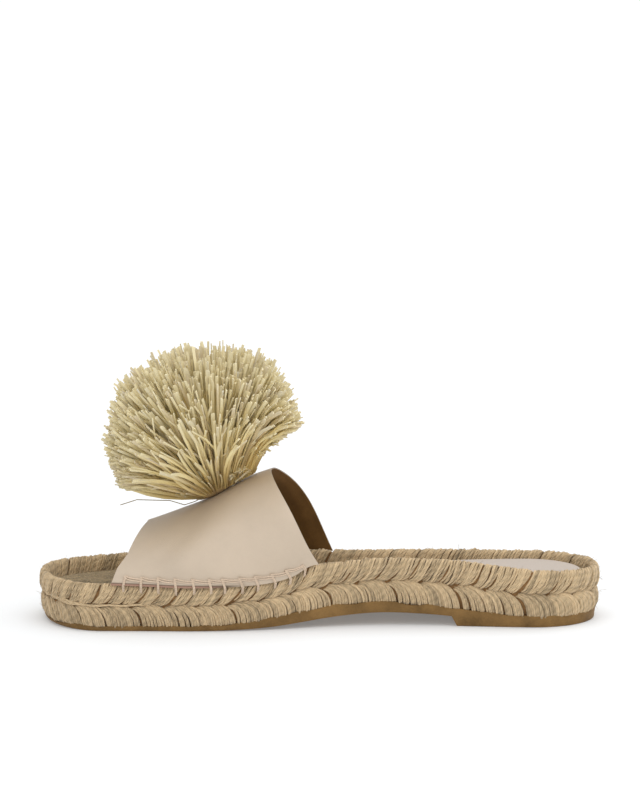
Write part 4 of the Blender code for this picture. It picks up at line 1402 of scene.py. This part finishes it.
class StageSettings(bpy.types.PropertyGroup):
    """Floor, light and camera."""

    floor_colour: colour_setting("Floor", "Colour of the floor", (0.74, 0.755, 0.77))
    glow: FloatProperty(name="Glow", description="Light from within the table", default=0.18, min=0)
    sky: FloatProperty(name="Sky", description="Strength of the even light", default=0.70, min=0)
    key: FloatProperty(name="Key", description="Strength of the light overhead", default=1.6, min=0)
    fill: FloatProperty(name="Fill", description="Power of the light in front", default=3.6, unit="POWER")
    azimuth: angle_setting("Azimuth", "Camera's angle from the inner side", 2.0)
    elevation: angle_setting("Elevation", "Camera's angle over the floor", 7.4)
    distance: length_setting("Distance", "Camera to slipper", 1.5)
    aim: length_setting("Aim", "Height of the view's middle", 0.0954)
    view: length_setting("View", "Height of the view at the slipper", 0.3678)


class SlipperSettings(bpy.types.PropertyGroup):
    """All settings of the slipper."""

    braid: PointerProperty(type=BraidSettings)
    outsole: PointerProperty(type=OutsoleSettings)
    footbed: PointerProperty(type=FootbedSettings)
    vamp: PointerProperty(type=VampSettings)
    stitch: PointerProperty(type=StitchSettings)
    pompom: PointerProperty(type=PompomSettings)
    stage: PointerProperty(type=StageSettings)


class SLIPPER_OT_braid(bpy.types.Operator):
    """Plait the jute sole: its body, both rows of yarns and the loose fibres"""

    bl_idname = "slipper.braid"
    bl_label = "Jute braid"

    def execute(self, context):
        settings = context.scene.slipper.braid
        rng = np.random.default_rng(BRAID_SEED)
        colour = tuple(settings.colour)
        width = settings.yarn_width / MM
        jute = yarn_material("jute_yarn", colour, 0.16, 0.22, 0.64)
        node = ["jute_braid_sole"]
        new_piece("braid_core", braid_core(), core_material(colour), node, weld=True)
        lower_row = lower_yarns(settings.lower_yarns, width, rng)
        upper_row = join([upper_yarns(settings.upper_yarns, width, rng), level_yarns(width)])
        new_piece("braid_lower_row", lower_row, jute, node)
        new_piece("braid_upper_row", upper_row, jute, node)
        new_piece("braid_fuzz", jute_fuzz(settings.fuzz, rng), jute, node)
        return {"FINISHED"}


class SLIPPER_OT_outsole(bpy.types.Operator):
    """Mould the rubber outsole with its heel and fine ribs"""

    bl_idname = "slipper.outsole"
    bl_label = "Rubber outsole"

    def execute(self, context):
        settings = context.scene.slipper.outsole
        rng = np.random.default_rng(RUBBER_SEED)
        shape = outsole_shape(settings.tread / MM, settings.lip / MM, rng)
        rubber = rubber_material(tuple(settings.colour))
        new_piece("gum_outsole", shape, rubber, ["rubber_outsole"], weld=True, crisp=50)
        return {"FINISHED"}


class SLIPPER_OT_footbed(bpy.types.Operator):
    """Lay the jute board and the heel sock in the tray"""

    bl_idname = "slipper.footbed"
    bl_label = "Footbed"

    def execute(self, context):
        settings = context.scene.slipper.footbed
        hollow = settings.hollow / MM
        board = footbed_shape(0.0, INSOLE_INSET, INSOLE_THICKNESS, 0.0, hollow, INSOLE_EDGE)
        lift = SOCK_GAP + SOCK_THICKNESS
        sock = footbed_shape(SOCK_FRONT, SOCK_INSET, SOCK_THICKNESS, lift, 0.0, SOCK_EDGE)
        fibres = board_material(tuple(settings.board_colour))
        colour = tuple(settings.sock_colour)
        taupe = leather_material("sock_leather", colour, (colour, colour), 0.6, 1500.0, 0.0)
        new_piece("footbed_board", board, fibres, ["jute_insole"], weld=True, crisp=60)
        new_piece("footbed_sock", sock, taupe, ["heel_sock"], weld=True, crisp=60)
        return {"FINISHED"}


class SLIPPER_OT_vamp(bpy.types.Operator):
    """Last the leather vamp and its lining"""

    bl_idname = "slipper.vamp"
    bl_label = "Leather vamp"

    def execute(self, context):
        settings = context.scene.slipper.vamp
        row_up = context.scene.slipper.stitch.row / MM
        leather = settings.leather / MM
        turn, share = vamp_grid(81, 181, 0.0, 0.0)
        face, normal = vamp_surface(turn, share, settings.pull / MM, row_up)
        back = face - normal * leather * skive(share)
        edge_tint = 0.1 + 0.4 * ease(share, 0.0, 0.1)
        skin = sheet_solid(face, back, 0.1, raw_edge_and_painted_shadow(turn, share), edge_tint)
        turn, share = vamp_grid(81, 121, 0.002, LINING_FRONT)
        face, normal = vamp_surface(turn, share, 0.0, row_up)
        thin = skive(share)
        back = face - normal * VAMP_WALL * thin
        flesh = sheet_solid(face - normal * (leather * thin + LINING_GAP), back, 0.08, 0.0, 0.5)
        edges = tuple(settings.edge_colour), tuple(settings.raw_colour)
        nude = leather_material("nude_leather", tuple(settings.colour), edges, 0.44, 1700.0, 0.06)
        suede = lining_material(tuple(settings.lining_colour))
        new_piece("vamp_leather", skin, nude, ["leather_upper"], weld=True, crisp=60)
        new_piece("vamp_lining", flesh, suede, ["leather_upper"], weld=True, crisp=60)
        return {"FINISHED"}


class SLIPPER_OT_stitches(bpy.types.Operator):
    """Sew the vamp to the rim with a blanket stitch"""

    bl_idname = "slipper.stitches"
    bl_label = "Blanket stitch"

    def execute(self, context):
        settings = context.scene.slipper.stitch
        shape = thread_shape(settings.row / MM, settings.width / MM)
        thread = yarn_material("waxed_thread", tuple(settings.colour), 0.5, 0.08, 0.3)
        new_piece("blanket_stitch", shape, thread)
        return {"FINISHED"}


class SLIPPER_OT_pompom(bpy.types.Operator):
    """Tie the straw pompom: packed straw inside, strips of straw and a loose end of thread"""

    bl_idname = "slipper.pompom"
    bl_label = "Straw pompom"

    def execute(self, context):
        settings = context.scene.slipper.pompom
        rng = np.random.default_rng(STRAW_SEED)
        width = settings.width / MM
        straw = straw_material(tuple(settings.pale), tuple(settings.olive), tuple(settings.bleached))
        core = join([pompom_core(), pompom_knot()])
        new_piece("pompom_core", core, straw, ["raffia_pompom"], weld=True)
        ball = straw_strips(settings.strips, width, POMPOM_FAN, 1.0, 0.62, rng)
        skirt = straw_strips(settings.strips // 6, width * 0.8, POMPOM_SKIRT, SKIRT_LENGTH, 0.3, rng)
        straws = join([ball, skirt, loose_thread()])
        new_piece("pompom_straw", straws, straw, ["raffia_pompom"], crisp=25)
        return {"FINISHED"}


class SLIPPER_OT_stage(bpy.types.Operator):
    """Set the pale floor, the soft light and the camera"""

    bl_idname = "slipper.stage"
    bl_label = "Stage"

    def execute(self, context):
        scene = context.scene
        settings = scene.slipper.stage
        scene.view_settings.view_transform = "Standard"
        set_floor(scene, tuple(settings.floor_colour), settings.glow)
        set_light(scene, settings)
        set_camera(scene, settings)
        return {"FINISHED"}


def set_floor(scene, colour, glow):
    """Flat square under the slipper."""
    mesh = bpy.data.meshes.new("floor")
    corners = [(FLOOR_REACH * x, FLOOR_REACH * y, 0) for x, y in ((-1, -1), (1, -1), (1, 1), (-1, 1))]
    mesh.from_pydata(corners, [], [(0, 1, 2, 3)])
    mesh.materials.append(backdrop_material(colour, glow))
    floor = bpy.data.objects.new("floor", mesh)
    scene.collection.objects.link(floor)


def set_light(scene, settings):
    """Even white sky, a broad light overhead and a soft one in front."""
    world = bpy.data.worlds.new("studio")
    scene.world = world
    world.use_nodes = True
    sky = world.node_tree.nodes["Background"]
    sky.inputs["Color"].default_value = (1, 1, 1, 1)
    sky.inputs["Strength"].default_value = settings.sky

    key = bpy.data.lights.new("overhead", "SUN")
    key.energy = settings.key
    key.angle = KEY_SPREAD
    aim_at(scene, bpy.data.objects.new(key.name, key), KEY_PLACE, -KEY_PLACE)
    fill = bpy.data.lights.new("front", "AREA")
    fill.energy = settings.fill
    fill.shape = "RECTANGLE"
    fill.size, fill.size_y = FILL_SIZE
    aim_at(scene, bpy.data.objects.new(fill.name, fill), FILL_PLACE, FILL_AIM - FILL_PLACE)


def set_camera(scene, settings):
    """Camera on the inner side, a little over the floor."""
    data = bpy.data.cameras.new("camera")
    data.sensor_fit = "VERTICAL"
    data.sensor_height = SENSOR_HEIGHT
    data.clip_end = VIEW_END
    data.lens = data.sensor_height * settings.distance / settings.view
    level = math.cos(settings.elevation)
    heelwards, inwards = math.sin(settings.azimuth) * level, -math.cos(settings.azimuth) * level
    way = Vector((heelwards, inwards, math.sin(settings.elevation)))
    camera = bpy.data.objects.new("camera", data)
    aim_at(scene, camera, Vector((0, 0, settings.aim)) + way * settings.distance, -way)
    scene.camera = camera


def aim_at(scene, made, position, way):
    """Puts a light or the camera at a position, looking a way."""
    made.location = position
    made.rotation_euler = way.to_track_quat("-Z", "Y").to_euler()
    scene.collection.objects.link(made)


class SLIPPER_PT_parts(bpy.types.Panel):
    """Lists the slipper's pieces and their settings"""

    bl_label = "Slipper"
    bl_space_type = "VIEW_3D"
    bl_region_type = "UI"
    bl_category = "Slipper"

    def draw(self, context):
        for operator in OPERATORS:
            self.layout.operator(operator.bl_idname)
        for group in SlipperSettings.__annotations__:
            box = self.layout.box()
            box.label(text=group.title())
            settings = getattr(context.scene.slipper, group)
            for name in settings.__annotations__:
                box.prop(settings, name)


OPERATORS = (
    SLIPPER_OT_braid,
    SLIPPER_OT_outsole,
    SLIPPER_OT_footbed,
    SLIPPER_OT_vamp,
    SLIPPER_OT_stitches,
    SLIPPER_OT_pompom,
    SLIPPER_OT_stage,
)
GROUPS = (
    BraidSettings,
    OutsoleSettings,
    FootbedSettings,
    VampSettings,
    StitchSettings,
    PompomSettings,
    StageSettings,
    SlipperSettings,
)


def register():
    """Makes the add-on's classes and the scene's settings known."""
    for made in (*GROUPS, *OPERATORS, SLIPPER_PT_parts):
        bpy.utils.register_class(made)
    bpy.types.Scene.slipper = PointerProperty(type=SlipperSettings)


def unregister():
    """Takes back what register() made."""
    del bpy.types.Scene.slipper
    for made in reversed((*GROUPS, *OPERATORS, SLIPPER_PT_parts)):
        bpy.utils.unregister_class(made)


def main():
    """Makes every piece and the stage."""
    register()
    bpy.ops.slipper.braid()
    bpy.ops.slipper.outsole()
    bpy.ops.slipper.footbed()
    bpy.ops.slipper.vamp()
    bpy.ops.slipper.stitches()
    bpy.ops.slipper.pompom()
    bpy.ops.slipper.stage()


if __name__ == "__main__":
    main()
